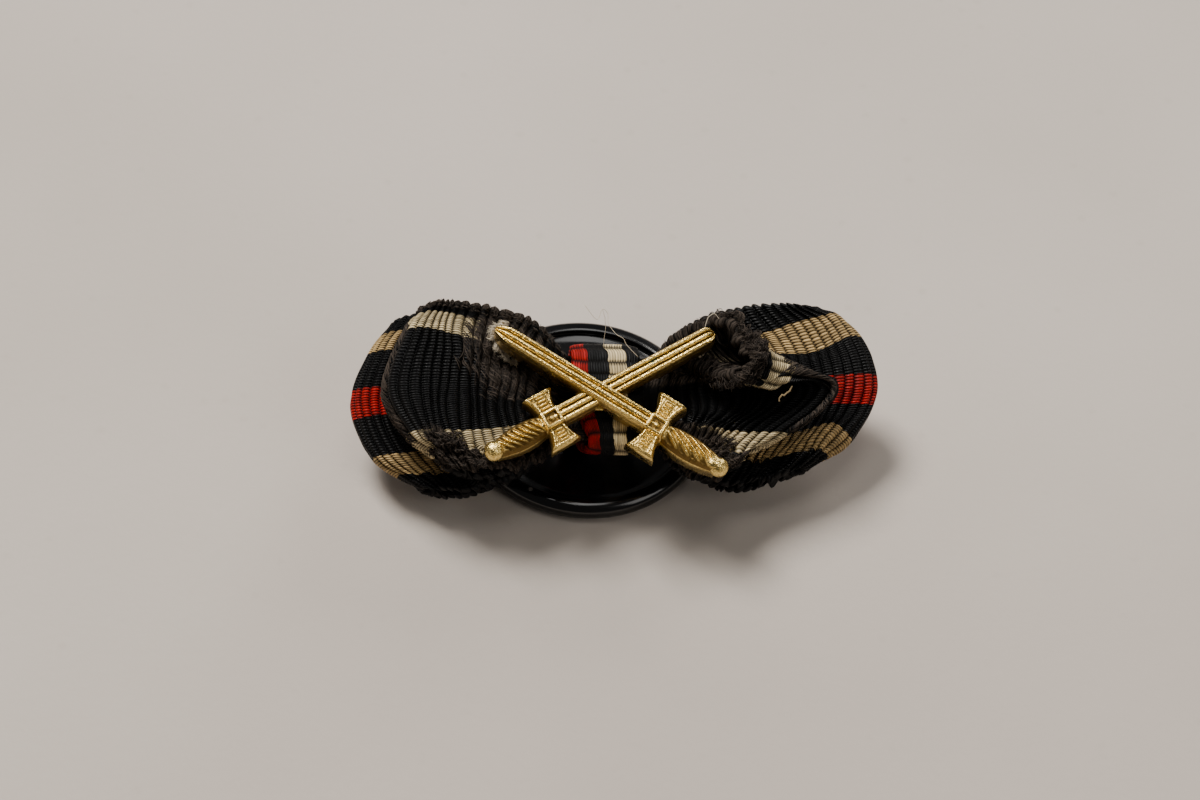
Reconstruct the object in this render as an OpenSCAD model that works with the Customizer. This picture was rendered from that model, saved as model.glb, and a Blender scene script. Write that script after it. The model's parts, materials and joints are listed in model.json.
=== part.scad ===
// Buttonhole ribbon: a small bow of two medal ribbons bound by a wrapped knot, with crossed swords on the
// front and a dished stud disc behind. Millimetres, +Z up, origin on the floor under the middle of the disc.
// The bow has a frame of its own: x along the bow, y across it, n out of its front. It leans on the stud,
// so that its far edge is higher than its near edge.

/* [Disc] */
// Outer diameter of the stud disc
disc_d = 17.4; // [16.8:0.1:18]
// Height of the rolled rim
rim_h = 1.5; // [1.3:0.05:1.7]
// Diameter of the neck between disc and bow
neck_d = 3; // [2.4:0.1:3.4]

/* [Bow] */
// Lean of the bow over the disc, degrees
lean = 19; // [17:0.5:21]
// Largest wall of the ribbons in the loops
wall = 1; // [0.8:0.05:1.05]
// Wall of the ribbons where the knot presses them together
bound_wall = 0.8; // [0.7:0.05:0.8]
// Width of the gathered ribbons inside the knot
waist_w = 6.9; // [6.4:0.1:7]
// Height of the pleats that run out of the knot
pleat_h = 0.12; // [0:0.02:0.16]
// Height of the ruffles along the near edges
ruffle_h = 0.2; // [0:0.05:0.3]

/* [Knot] */
// Width of the wrapped band along the bow
knot_w = 5; // [4.4:0.1:5.2]
// Wall of the wrapped band
knot_wall = 0.8; // [0.7:0.05:0.8]

/* [Swords] */
// Length of a blade from guard to tip
blade_len = 13.1; // [12.6:0.1:13.3]
// Width of a blade at its base
blade_w = 1.5; // [1.3:0.05:1.7]
// Height of the stamped metal
sword_h = 1.15; // [1:0.05:1.2]

/* [Hidden] */

gap = 0.1;             // clearance between pieces that touch on the real bow
bow_at = [1.3, -2.65, 4.3]; // where the bow's own frame stands above the disc
dish_floor = 0.6;      // thickness of the disc in its middle
waist_y = 0.5;         // middle of the bound stack across the bow, at its back
waist_rise = -0.45;    // how far that middle moves towards the near edge at the front
waist_taper = 0.36;    // how much narrower the bound stack is at its back than at its front
waist_x = [-2.9, 2.7]; // ends of the straight stretch inside the knot, left and right
blunt = 2.3;           // how round the ends of the loops are
edge_lead = 1.4;       // how much sooner the edges than the middle spread out from the knot
pleats = 3;            // pleats across the width
pleat_end = 0.7;       // part of the way from knot to fold where the pleats fade out
ruffles = 9;           // ruffles of the near edge along one loop
ruffle_end = 0.3;      // part of the way from knot to fold where the ruffles are at their full height
far_zone = 0.45;       // part of the width, from the far edge, that the far stray bends
near_zone = 0.4;       // part of the width, up to the near edge, that the near stray bends
rows_n = 33;           // sections along one loop
cols_n = 13;           // points across the ribbon
fold_rows = 6;         // sections on each side of a fold that count as the fold
flat_rows = 5;         // further sections over which the wall changes from the fold's to the layers'
fold_share = 0.36;     // wall at a fold, as a part of the loop's height there
knot_crown = 0.12;     // how far the knot's front swells in its middle
knot_x = -0.15;        // middle of the knot along the bow
knot_slant = 0.09;     // how far the knot slants along the bow for each millimetre across it
knot_room = 3 * gap;   // room between the bound stack's edges and the knot

// Stack of the bound layers, outermost faces, from the back of the bow to its front
striped_back = -0.35;
striped_front = striped_back + 2 * bound_wall + gap;
black_back = striped_front + gap;
black_front = black_back + 2 * bound_wall + gap;
knot_back = striped_back - gap;
knot_front = black_front + gap;
swords_at = knot_front + knot_wall + knot_crown + gap;

// Swords: [guard x, guard y, turn of the blade, lift over the other sword, grip length, half length of guard]
swords = [
    [ 2.95, -2.45, 147.9, 0.15, 5,   2.25],
    [-4.2,  -2.0,   30.6, 0,    4.5, 2.05]];
blade_tip = 1.6;       // length of a blade's tapered end
metal_draft = 0.12;    // how far the stamped sides lean in

// Fold lines, the outermost line of each loop: [place across the width, x, y]
striped_fold_l = [
    [0,    -15.3,  6.4],
    [0.25, -16.9,  4.2],
    [0.5,  -18.0,  0.4],
    [0.75, -16.4, -3.4],
    [1,    -13.2, -5.5]];
striped_fold_r = [
    [0,     15.2,  7.9],
    [0.25,  18.1,  6.2],
    [0.5,   19.2,  2.3],
    [0.75,  17.3, -1.4],
    [1,     14.3, -3.7]];
black_fold_l = [
    [0,    -13.3,  6.3],
    [0.25, -14.5,  4.7],
    [0.5,  -15.9,  0.4],
    [0.75, -14.1, -2.9],
    [1,    -11.4, -4.8]];
black_fold_r = [
    [0,      9.9,  2.6],
    [0.25,  12.6,  2.6],
    [0.45,  15.8,  1.6],
    [0.6,   14.7, -0.3],
    [0.75,  12.3, -2.0],
    [1,      9.1, -4.1]];

// Heights along each loop, back layer first and front layer last:
// [place along, far edge, far quarter, middle, near quarter, near edge]
function level(w, n) = [w, n, n, n, n, n];
striped_rise_l = [
    level(-1, striped_back),
    [-0.75, -0.7, -0.8, -1.0, -0.9, -0.7],
    [-0.4,  -1.0, -1.4, -1.7, -1.5, -1.2],
    [0,      0.3,  0.1,  0.0, -0.1, -0.1],
    [0.4,    1.6,  1.5,  1.4,  1.3,  1.1],
    [0.75,   1.5,  1.5,  1.5,  1.4,  1.2],
    level(1, striped_front)];
striped_rise_r = [
    level(-1, striped_back),
    [-0.75, -0.5, -0.7, -1.0, -0.9, -0.7],
    [-0.4,  -0.4, -1.1, -1.6, -1.5, -1.2],
    [0,      1.2,  0.6,  0.2,  0.0,  0.0],
    [0.4,    2.4,  1.8,  1.4,  1.3,  1.2],
    [0.75,   1.9,  1.6,  1.5,  1.4,  1.2],
    level(1, striped_front)];
black_rise_l = [
    level(-1, black_back),
    [-0.75,  1.8,  1.8,  1.8,  1.7,  1.5],
    [-0.4,   1.9,  1.8,  1.7,  1.6,  1.5],
    [0,      3.3,  3.5,  3.5,  3.1,  2.7],
    [0.4,    4.7,  5.1,  5.2,  4.9,  4.1],
    [0.75,   3.7,  3.9,  4.0,  3.9,  3.7],
    level(1, black_front)];
black_rise_r = [
    level(-1, black_back),
    [-0.75,  2.0,  1.8,  1.8,  1.7,  1.6],
    [-0.6,   2.9,  2.2,  1.8,  1.6,  1.6],
    [-0.4,   4.7,  2.9,  1.8,  1.6,  1.6],
    [0,      6.1,  4.6,  3.2,  2.8,  2.7],
    [0.4,    5.4,  4.6,  3.9,  3.8,  3.8],
    [0.6,    3.95, 3.8,  3.6,  3.7,  3.8],
    [0.75,   3.3,  3.4,  3.5,  3.7,  3.8],
    level(1, black_front)];

// Where the edges leave the plain shape of a loop: [place along, far edge x, y, near edge x, y]
left_stray = [
    [-1,    0, 0,   0,  0],
    [-0.9,  0, 0.9, 0, -0.3],
    [-0.75, 0, 0.7, 0, -0.5],
    [0,     0, 0,   0, -0.2],
    [0.75,  0, 0.7, 0, -0.5],
    [0.9,   0, 0.9, 0, -0.3],
    [1,     0, 0,   0,  0]];
right_stray = [
    [-1,    0, 0,   0,  0],
    [-0.9,  0, 0.9, 0, -1.2],
    [-0.75, 0, 0.6, 0, -1.8],
    [-0.5,  0, 0,   0, -0.5],
    [0,     0, 0,   0,  0],
    [0.5,   0, 0,   0, -0.5],
    [0.75,  0, 0.6, 0, -1.8],
    [0.9,   0, 0.9, 0, -1.2],
    [1,     0, 0,   0,  0]];
// The far corner of this loop is bent up and open, like the mouth of a horn
horn_stray = [
    [-1,     0,    0,   0,  0],
    [-0.8,  -0.8,  2.2, 0, -1.2],
    [-0.45, -0.4,  3.4, 0, -0.8],
    [-0.2,  -0.2,  2.0, 0, -0.3],
    [0,      0,    0,   0, -0.1],
    [0.35,  -0.9, -1.7, 0, -0.6],
    [0.6,   -1.1, -1.3, 0, -1.0],
    [0.8,   -0.5,  0.1, 0, -1.0],
    [1,      0,    0,   0,  0]];

// Slope of column c of a table at row i, for a smooth curve through its rows
function slope(t, c, i) =
    let (last = len(t) - 1)
    let (a = max(i - 1, 0), b = min(i + 1, last))
    (t[b][c] - t[a][c]) / (t[b][0] - t[a][0]);

// Column c of a table at key k, along a smooth curve through its rows
function at(t, c, k) =
    let (i = max([for (j = [0:len(t) - 2]) if (k >= t[j][0]) j]))
    let (h = t[i + 1][0] - t[i][0])
    let (s = (k - t[i][0]) / h)
    (2 * s * s * s - 3 * s * s + 1) * t[i][c] + (s * s * s - 2 * s * s + s) * h * slope(t, c, i)
    + (3 * s * s - 2 * s * s * s) * t[i + 1][c] + (s * s * s - s * s) * h * slope(t, c, i + 1);

// How far along the way from knot to fold a place w is: 0 at the knot, 1 at the fold
function reach(w) = 1 - pow(abs(w), blunt);

// Half width of the bound stack and its middle, at height n
function stack_half(n) = waist_w / 2 * (1 - waist_taper * (black_front - n) / (black_front - striped_back));
function stack_mid(n) = waist_y + waist_rise * (n - striped_back) / (black_front - striped_back);

// One point of a loop's outer face. Side 0 is the left loop and 1 the right one; w runs from -1, the back
// layer at the knot, over the fold at 0 to 1, the front layer at the knot; v from 0, far edge, to 1, near.
function on_loop(fold, rise, stray, side, w, v) =
    let (t = reach(w))
    let (bound = w < 0 ? at(rise, 1, -1) : at(rise, 1, 1) - bound_wall)
    let (knot_y = stack_mid(bound) + (1 - 2 * v) * stack_half(bound))
    let (spread = 1 - pow(1 - t, 1 + edge_lead * abs(2 * v - 1)))
    let (across = [for (c = [1:5]) [(c - 1) / 4, at(rise, c, w)]])
    let (pleat = pleat_h * sin(180 * min(1, t / pleat_end)) * cos(360 * pleats * v))
    let (far = pow(max(0, 1 - v / far_zone), 1.2))
    let (near = pow(max(0, 1 - (1 - v) / near_zone), 1.5))
    let (ruffle = ruffle_h * near * sin(180 * min(1, t / ruffle_end)) * sin(180 * ruffles * w))
    [waist_x[side] + (at(fold, 1, v) - waist_x[side]) * t + at(stray, 1, w) * far + at(stray, 3, w) * near,
     knot_y + (at(fold, 2, v) - knot_y) * spread + at(stray, 2, w) * far + at(stray, 4, w) * near + ruffle,
     at(across, 1, v) + pleat];

// Rows of points round the whole ribbon: out and back along the left loop, then along the right loop
function ribbon_rows(fold_l, rise_l, stray_l, fold_r, rise_r, stray_r) = concat(
    [for (i = [0:rows_n - 1]) [for (j = [0:cols_n - 1])
        on_loop(fold_l, rise_l, stray_l, 0, -1 + 2 * i / (rows_n - 1), j / (cols_n - 1))]],
    [for (i = [0:rows_n - 1]) [for (j = [0:cols_n - 1])
        on_loop(fold_r, rise_r, stray_r, 1, 1 - 2 * i / (rows_n - 1), j / (cols_n - 1))]]);

function unit(p) = p / norm(p);

// Direction out of a face at row i, column j of closed rows
function outward(rows, i, j) =
    let (m = len(rows), k = len(rows[0]))
    let (along = rows[(i + 1) % m][j] - rows[(i + m - 1) % m][j])
    let (across = rows[i][min(j + 1, k - 1)] - rows[i][max(j - 1, 0)])
    unit(cross(across, along));

// Wall of a ribbon at row i, column j: thinner inside the knot and round the folds than in the loops, so that
// the two layers of a loop stay clear of each other
function wall_at(rows, i, j) =
    let (fold = (i < rows_n ? 0 : rows_n) + (rows_n - 1) / 2)
    let (off = max(abs(i - fold), fold_rows))
    let (space = norm(rows[fold + off][j] - rows[fold - off][j]))
    let (s = min(1, (off - fold_rows) / flat_rows))
    min(wall, space * fold_share * (1 - s) + (space - gap) / 2 * s);

// Solid between closed rows of outer points and the rows of inner points behind them
module band(outer, inner) {
    m = len(outer);
    k = len(outer[0]);
    points = [for (i = [0:m - 1]) each concat(outer[i], [for (j = [k - 1:-1:0]) inner[i][j]])];
    faces = [for (i = [0:m - 1], j = [0:2 * k - 1])
        let (a = i * 2 * k, b = ((i + 1) % m) * 2 * k, jn = (j + 1) % (2 * k))
        each [[a + j, b + j, a + jn], [b + j, b + jn, a + jn]]];
    polyhedron(points, faces, convexity = 12);
}

module on_bow() {
    translate(bow_at) rotate([lean, 0, 0]) children();
}

// A ribbon sewn into a ring, flattened into two loops
module ribbon(fold_l, rise_l, stray_l, fold_r, rise_r, stray_r) {
    outer = ribbon_rows(fold_l, rise_l, stray_l, fold_r, rise_r, stray_r);
    inner = [for (i = [0:len(outer) - 1]) [for (j = [0:cols_n - 1])
        outer[i][j] - wall_at(outer, i, j) * outward(outer, i, j)]];
    on_bow() band(outer, inner);
}

module button_disc() {
    color("#141416") rotate_extrude($fn = 96) disc_section();
}

// Half section: rolled rim, a narrow groove inside it and a shallow dish
module disc_section() {
    roll = rim_h / 2;
    rim_r = disc_d / 2 - roll;
    dish_r = rim_r - 0.3;
    groove_z = roll + 0.3;
    polygon(concat(
        [[0, 0], [rim_r, 0]],
        [for (a = [-75:15:120]) [rim_r + roll * cos(a), roll + roll * sin(a)]],
        [[dish_r, groove_z], [dish_r - 0.2, groove_z + 0.05],
         [0.83 * dish_r, dish_floor + 0.25], [0.6 * dish_r, dish_floor + 0.08],
         [0.34 * dish_r, dish_floor], [0, dish_floor]]));
}

module stud_neck() {
    knot_under = knot_back - knot_wall - knot_crown - gap;
    color("#1c1c1e") difference() {
        translate([0, 0, dish_floor]) cylinder(d = neck_d, h = 6, $fn = 48);
        on_bow() translate([-10, -10, knot_under]) cube([20, 20, 10]);
    }
}

module striped_ribbon() {
    color("#b5a079")
        ribbon(striped_fold_l, striped_rise_l, left_stray, striped_fold_r, striped_rise_r, right_stray);
}

module black_ribbon() {
    color("#202024")
        ribbon(black_fold_l, black_rise_l, left_stray, black_fold_r, black_rise_r, horn_stray);
}

// The band wrapped round the waist: rounded corners, a crowned front and a slight slant
module knot_band() {
    steps = 40;
    across = 6;
    mid_n = (knot_back + knot_front) / 2;
    half_n = (knot_front - knot_back) / 2;
    function bulge(c, p) = pow(abs(c), p) * sign(c);
    function ring_row(i, grow, crown, p) = [for (j = [0:across - 1])
        let (a = 360 * i / steps, u = 2 * j / (across - 1) - 1)
        let (n = half_n * bulge(sin(a), p))
        let (y = stack_mid(mid_n + n) + (stack_half(mid_n + n) + knot_room + grow) * bulge(cos(a), p))
        [knot_x + u * knot_w / 2 - knot_slant * y, y,
         mid_n + (half_n + grow + crown * (1 - u * u)) * bulge(sin(a), p)]];
    outer = [for (i = [0:steps - 1]) ring_row(i, knot_wall, knot_crown, 0.35)];
    inner = [for (i = [0:steps - 1]) ring_row(i, 0, 0, 0.14)];
    color("#a02020") on_bow() band(outer, inner);
}

module crossed_swords() {
    color("#c8a03c") on_bow() translate([0, 0, swords_at])
        for (s = swords) translate([s[0], s[1], 0]) rotate(s[2]) sword(s[3], s[4], s[5]);
}

// One sword with its guard at the origin and its blade along +x, lifted over the other where they cross
module sword(lift, grip_len, guard_half) {
    top = sword_h + lift;
    ridge_from = 0.8;
    hull() {
        linear_extrude(0.2) blade_outline(0);
        linear_extrude(top) blade_outline(metal_draft);
    }
    for (side = [-1, 0, 1])
        translate([ridge_from, side * blade_w * 0.27, top]) rotate([90, 0, 90])
            linear_extrude(blade_len - blade_tip + 0.2 - ridge_from) ridge();
    for (turn = [90, -90]) rotate(turn) guard_arm(top, guard_half);
    boss(top);
    mirror([1, 0, 0]) grip(top, grip_len);
}

// Section of a fine raised line in the metal
module ridge() {
    polygon([[-0.14, -0.08], [0.14, -0.08], [0, 0.1]]);
}

module blade_outline(inset) {
    half = blade_w / 2 - inset;
    edge = [[0, half], [blade_len - blade_tip, half * 0.92], [blade_len - blade_tip * 0.3, half * 0.55]];
    both_sides(concat(edge, [[blade_len - inset, 0]]));
}

// Outline that is the same on both sides of the x axis, from its upper side
module both_sides(edge) {
    polygon(concat(edge, [for (i = [len(edge) - 1:-1:0]) [edge[i][0], -edge[i][1]]]));
}

// One flared arm of a guard: a raised border round a sunken field with rungs
module guard_arm(top, end) {
    neck = 0.6;
    flare = 1.05;
    rim = 0.2;
    rung = 0.12;
    linear_extrude(top - 0.1) guard_outline(neck, flare, end);
    linear_extrude(top + 0.1) difference() {
        guard_outline(neck, flare, end);
        guard_outline(neck - rim, flare - rim, end - rim);
    }
    for (x = [1.1:0.32:end - 0.3]) {
        half = neck * x / 1.3;
        translate([x - rung / 2, -half, 0]) cube([rung, 2 * half, top + 0.05]);
    }
}

module guard_outline(neck, flare, end) {
    both_sides([[0.5, neck], [end * 0.75, (neck + flare) / 2.2], [end, flare]]);
}

// Square boss with a hollow middle, where blade, guard and grip meet
module boss(top) {
    boss_w = 1.5;
    hollow_w = 0.8;
    linear_extrude(top + 0.3) difference() {
        square(boss_w, center = true);
        square(hollow_w, center = true);
    }
    linear_extrude(top + 0.12) square(boss_w - 0.1, center = true);
}

// Leaf-shaped grip with slanted ribs and a ball for a pommel
module grip(top, grip_len) {
    half = 0.85;
    ribs = 6;
    rib_len = 1.2;
    rib_turn = -55;
    pommel_d = 1.3;
    hull() {
        linear_extrude(0.2) grip_outline(grip_len, half);
        linear_extrude(top - 0.1) grip_outline(grip_len, half - 0.15);
    }
    for (i = [0:ribs - 1])
        translate([1.2 + i * (grip_len - 1.9) / (ribs - 1), 0, top - 0.1]) rotate(rib_turn)
            translate([0, -rib_len / 2, 0]) rotate([90, 0, 180]) linear_extrude(rib_len) ridge();
    translate([grip_len, 0, pommel_d / 2 - 0.1]) rotate([90, 0, 0]) sphere(d = pommel_d, $fn = 24);
}

module grip_outline(grip_len, half) {
    both_sides([[0.4, half * 0.6], [grip_len * 0.35, half],
                [grip_len * 0.65, half * 0.95], [grip_len, half * 0.5]]);
}

button_disc();
stud_neck();
striped_ribbon();
black_ribbon();
knot_band();
crossed_swords();
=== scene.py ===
"""The looks of a small bow of medal ribbons on a stud disc.

Two ribbed silk ribbons, each sewn into a ring and pressed into two loops, are bound by a wrapped knot.
Crossed swords of gilt brass lie on the front and a black lacquered disc stands behind.
Shapes are worked out in millimetres in the bow's own frame: x along the bow, y across it, n out of its front.
"""

from __future__ import annotations

import json
import logging
import math
from dataclasses import dataclass
from enum import Enum
from typing import Any, NamedTuple, Sequence

import bpy
import numpy as np
from mathutils import Matrix, Vector

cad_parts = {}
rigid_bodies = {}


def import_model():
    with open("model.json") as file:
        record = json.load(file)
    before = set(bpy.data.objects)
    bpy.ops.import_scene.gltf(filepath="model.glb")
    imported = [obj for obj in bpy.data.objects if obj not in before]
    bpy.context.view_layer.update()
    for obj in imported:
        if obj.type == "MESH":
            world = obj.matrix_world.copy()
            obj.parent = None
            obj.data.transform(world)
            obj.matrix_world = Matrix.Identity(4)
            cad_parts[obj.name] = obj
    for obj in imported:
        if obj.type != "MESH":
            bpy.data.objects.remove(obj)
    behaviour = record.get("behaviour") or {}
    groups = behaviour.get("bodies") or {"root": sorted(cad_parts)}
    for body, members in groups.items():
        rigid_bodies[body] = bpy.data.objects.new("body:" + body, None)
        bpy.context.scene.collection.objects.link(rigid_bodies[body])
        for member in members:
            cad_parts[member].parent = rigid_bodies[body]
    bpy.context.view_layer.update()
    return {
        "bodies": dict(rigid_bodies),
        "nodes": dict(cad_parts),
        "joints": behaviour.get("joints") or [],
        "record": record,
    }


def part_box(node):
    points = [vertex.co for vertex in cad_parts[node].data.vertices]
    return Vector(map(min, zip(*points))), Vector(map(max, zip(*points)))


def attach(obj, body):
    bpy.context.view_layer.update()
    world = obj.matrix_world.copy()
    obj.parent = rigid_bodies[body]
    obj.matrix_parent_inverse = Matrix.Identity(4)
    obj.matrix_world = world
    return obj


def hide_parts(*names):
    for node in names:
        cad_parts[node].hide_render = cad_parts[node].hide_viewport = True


Array = np.ndarray
Node = bpy.types.Node
Socket = bpy.types.NodeSocket
Material = bpy.types.Material
Object = bpy.types.Object
Pair = tuple[float, float]
Triple = tuple[float, float, float]

MM = 0.001
WEAVE_MAP = "weave"
RIB_ROUNDNESS = 2.2
log = logging.getLogger("buttonhole_ribbon")


class Dye(Enum):
    """Colours of thread, fibre and metal, linear."""

    BLACK = (0.0022, 0.0022, 0.0026)
    TAN = (0.70, 0.47, 0.20)
    RED = (0.48, 0.006, 0.003)
    WHITE = (0.84, 0.67, 0.38)
    WORN = (0.005, 0.004, 0.0032)
    WORN_PALE = (0.092, 0.070, 0.054)
    FLUFF = (0.82, 0.73, 0.58)
    FLUFF_SHADE = (0.50, 0.43, 0.32)
    STRAW = (0.42, 0.31, 0.17)
    STRAW_SHADE = (0.16, 0.11, 0.055)
    GILT = (0.98, 0.74, 0.27)
    GILT_DEEP = (0.82, 0.57, 0.16)
    PATINA = (0.10, 0.048, 0.010)
    VERDIGRIS = (0.03, 0.17, 0.13)
    LACQUER = (0.0035, 0.0035, 0.004)
    DUST = (0.10, 0.09, 0.08)
    FLOOR = (0.53, 0.47, 0.415)
    FLOOR_SHADE = (0.45, 0.395, 0.345)

    @property
    def rgba(self) -> tuple[float, float, float, float]:
        """The colour with a full alpha."""
        return (*self.value, 1.0)


class Side(Enum):
    """The two loops of a ribbon."""

    LEFT = 0
    RIGHT = 1


# Smooth curves and noise


def curve(keys: Sequence[float], values: Array, where: Array) -> Array:
    """Reads a smooth curve through rows of values.

    Args:
        keys: the place of each row, rising.
        values: one row of numbers, or of arrays, for each key.
        where: the places to read.

    Returns:
        One row for each place.
    """
    t = np.asarray(keys, float)
    p = np.asarray(values, float)
    k = np.clip(np.asarray(where, float), t[0], t[-1])
    last = len(t) - 1
    below = np.maximum(np.arange(last + 1) - 1, 0)
    above = np.minimum(np.arange(last + 1) + 1, last)
    tail = (1,) * (p.ndim - 1)
    slope = (p[above] - p[below]) / (t[above] - t[below]).reshape(-1, *tail)
    i = np.clip(np.searchsorted(t, k, side="right") - 1, 0, last - 1)
    h = (t[i + 1] - t[i]).reshape(-1, *tail)
    s = (k - t[i]).reshape(-1, *tail) / h
    return (
        (2 * s**3 - 3 * s**2 + 1) * p[i]
        + (s**3 - 2 * s**2 + s) * h * slope[i]
        + (3 * s**2 - 2 * s**3) * p[i + 1]
        + (s**3 - s**2) * h * slope[i + 1]
    )


def ease(low: Any, high: Any, x: Any) -> Array:
    """0 below low, 1 above high and a smooth rise between, or the other way round if low is above high."""
    t = np.clip((np.asarray(x, float) - low) / (high - low), 0, 1)
    return t * t * (3 - 2 * t)


class SmoothNoise:
    """Smooth random hills over a plane, from -1 to 1, the same on each run."""

    def __init__(self, seed: int, size: int = 64) -> None:
        """Draws the heights of the lattice."""
        self.size = size
        self.lattice = np.random.default_rng(seed).uniform(-1, 1, (size, size))

    def at(self, x: Array, y: Array) -> Array:
        """Reads the hills at x and y, which are broadcast against each other."""
        x, y = np.broadcast_arrays(np.asarray(x, float), np.asarray(y, float))
        i, j = np.floor(x).astype(int), np.floor(y).astype(int)
        s, t = ease(0, 1, x - i), ease(0, 1, y - j)
        n = self.size
        a, b = self.lattice[i % n, j % n], self.lattice[(i + 1) % n, j % n]
        c, d = self.lattice[i % n, (j + 1) % n], self.lattice[(i + 1) % n, (j + 1) % n]
        return (a * (1 - s) + b * s) * (1 - t) + (c * (1 - s) + d * s) * t


class Ripple(NamedTuple):
    """Hills of a smooth noise: their height, how close together they lie each way, and where they start."""

    amount: float
    along: float
    across: float
    from_along: float = 0.0
    from_across: float = 0.0

    def at(self, noise: SmoothNoise, x: Any, y: Any) -> Array:
        """Their height at places along and across."""
        x, y = x * self.along + self.from_along, y * self.across + self.from_across
        return self.amount * noise.at(x, y)


def bell(x: Array, at: float, half: float) -> Array:
    """A bell curve, 1 at its middle and low beyond its half width."""
    return np.exp(-(((x - at) / half) ** 2))


def signed_power(x: Array, power: float) -> Array:
    """A power of the size of x, with the sign of x."""
    return np.sign(x) * np.abs(x) ** power


def rib_shape(phase: Array) -> Array:
    """How high a rib of silk stands at shares of its width, 1 on its crest."""
    return 1 - np.abs(2 * phase - 1) ** RIB_ROUNDNESS


def circle(count: int) -> Array:
    """Angles evenly round a circle."""
    return 2 * np.pi * np.arange(count) / count


# Meshes


def unit(v: Array) -> Array:
    """The vectors of an array at length 1."""
    return v / np.maximum(np.linalg.norm(v, axis=-1, keepdims=True), 1e-12)


def grid_faces(rows: int, ring: int, close_rows: bool, close_ring: bool) -> Array:
    """Quads between rows of points.

    Args:
        rows: how many rows there are.
        ring: how many points a row has.
        close_rows: whether the last row joins the first.
        close_ring: whether each row's last point joins its first.

    Returns:
        An array of four point numbers for each quad.
    """
    i = np.arange(rows if close_rows else rows - 1)[:, None] * ring
    j = np.arange(ring if close_ring else ring - 1)[None, :]
    i_next = (i + ring) % (rows * ring)
    j_next = (j + 1) % ring
    return np.stack([i + j, i + j_next, i_next + j_next, i_next + j], axis=-1).reshape(-1, 4)


def turned(profile: Array, sides: int) -> tuple[Array, list[list[int]]]:
    """A closed body turned about the z axis.

    Args:
        profile: radius and height of its outline, from its low pole to its high pole.
        sides: how many points a circle has.

    Returns:
        Its points and its faces.
    """
    around = circle(sides)
    r, z = profile[1:-1, :1], profile[1:-1, 1:]
    rings = np.stack(np.broadcast_arrays(r * np.cos(around), r * np.sin(around), z), axis=-1)
    poles = np.array([[0, 0, profile[0, 1]], [0, 0, profile[-1, 1]]])
    faces = grid_faces(len(r), sides, False, True).tolist()
    pole = len(r) * sides
    last = pole - sides
    for j in range(sides):
        k = (j + 1) % sides
        faces.append([pole, k, j])
        faces.append([pole + 1, last + j, last + k])
    return np.concatenate([rings.reshape(-1, 3), poles]), faces


def signed_volume(points: Array, faces: Sequence[Sequence[int]]) -> float:
    """Volume that faces enclose, negative where they look inward."""
    total = 0.0
    for size in (3, 4):
        corner = np.array([f for f in faces if len(f) == size], int)
        if len(corner):
            p = points[corner]
            for k in range(1, size - 1):
                total += float(np.einsum("ij,ij->i", p[:, 0], np.cross(p[:, k], p[:, k + 1])).sum())
    return total


def make_object(
    name: str,
    points: Array,
    faces: Sequence[Sequence[int]],
    material: Material,
    weave: Array | None = None,
    marks: dict[str, Array] | None = None,
) -> Object:
    """Makes a smooth closed mesh that looks outward and links it to the scene.

    Args:
        name: the object's name.
        points: its points in the row frame, in metres.
        faces: the point numbers of each face.
        material: its finish.
        weave: two numbers for each point, kept as a map for the finish to read.
        marks: further numbers for each point, by name.

    Returns:
        The new object.
    """
    faces = [list(f) for f in faces]
    if signed_volume(points, faces) < 0:
        faces = [f[::-1] for f in faces]
    mesh = bpy.data.meshes.new(name)
    mesh.from_pydata(points.tolist(), [], faces)
    mesh.shade_smooth()
    mesh.materials.append(material)
    if weave is not None:
        corner = np.zeros(len(mesh.loops), np.int32)
        mesh.loops.foreach_get("vertex_index", corner)
        layer = mesh.uv_layers.new(name=WEAVE_MAP)
        layer.uv.foreach_set("vector", weave[corner].astype(np.float32).ravel())
    for mark, values in (marks or {}).items():
        layer = mesh.attributes.new(mark, "FLOAT", "POINT")
        layer.data.foreach_set("value", values.astype(np.float32).ravel())
    mesh.update()
    made = bpy.data.objects.new(name, mesh)
    bpy.context.scene.collection.objects.link(made)
    return made


class Strands:
    """Many thin round strands, gathered into one mesh."""

    UPRIGHT = (0.31, 0.27, 0.91)
    ENDS = (0.08, 0.92)

    def __init__(self, sides: int = 3) -> None:
        """Starts with no strands."""
        self.sides = sides
        self.points: list[Array] = []
        self.faces: list[list[int]] = []
        self.shades: list[Array] = []
        self.count = 0

    def add(self, path: Array, radius: float, shade: float = 1.0, taper: float = 0.35) -> None:
        """Adds one strand.

        Args:
            path: the points along its middle, in metres.
            radius: its radius in metres.
            shade: how light it is, kept for the finish to read.
            taper: its ends' radius as a share of radius.
        """
        n = len(path)
        along = unit(np.gradient(path, axis=0))
        aside = unit(np.cross(along, np.array(self.UPRIGHT)))
        up = np.cross(along, aside)
        thick = radius * (taper + (1 - taper) * np.sin(np.pi * np.linspace(*self.ENDS, n)) ** 0.5)
        turn = circle(self.sides)
        ring = np.cos(turn)[None, :, None] * aside[:, None] + np.sin(turn)[None, :, None] * up[:, None]
        rows = path[:, None] + thick[:, None, None] * ring
        start = self.count
        self.points.append(rows.reshape(-1, 3))
        body = grid_faces(n, self.sides, False, True)[:, ::-1] + start
        last = start + (n - 1) * self.sides
        self.faces += body.tolist()
        self.faces.append(list(range(start, start + self.sides)))
        self.faces.append(list(range(last + self.sides - 1, last - 1, -1)))
        self.shades.append(np.full(n * self.sides, shade))
        self.count += n * self.sides

    def build(self, name: str, material: Material) -> Object:
        """Makes the mesh of all strands added so far."""
        marks = {"shade": np.concatenate(self.shades)}
        return make_object(name, np.concatenate(self.points), self.faces, material, marks=marks)


# Shader nodes


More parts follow.
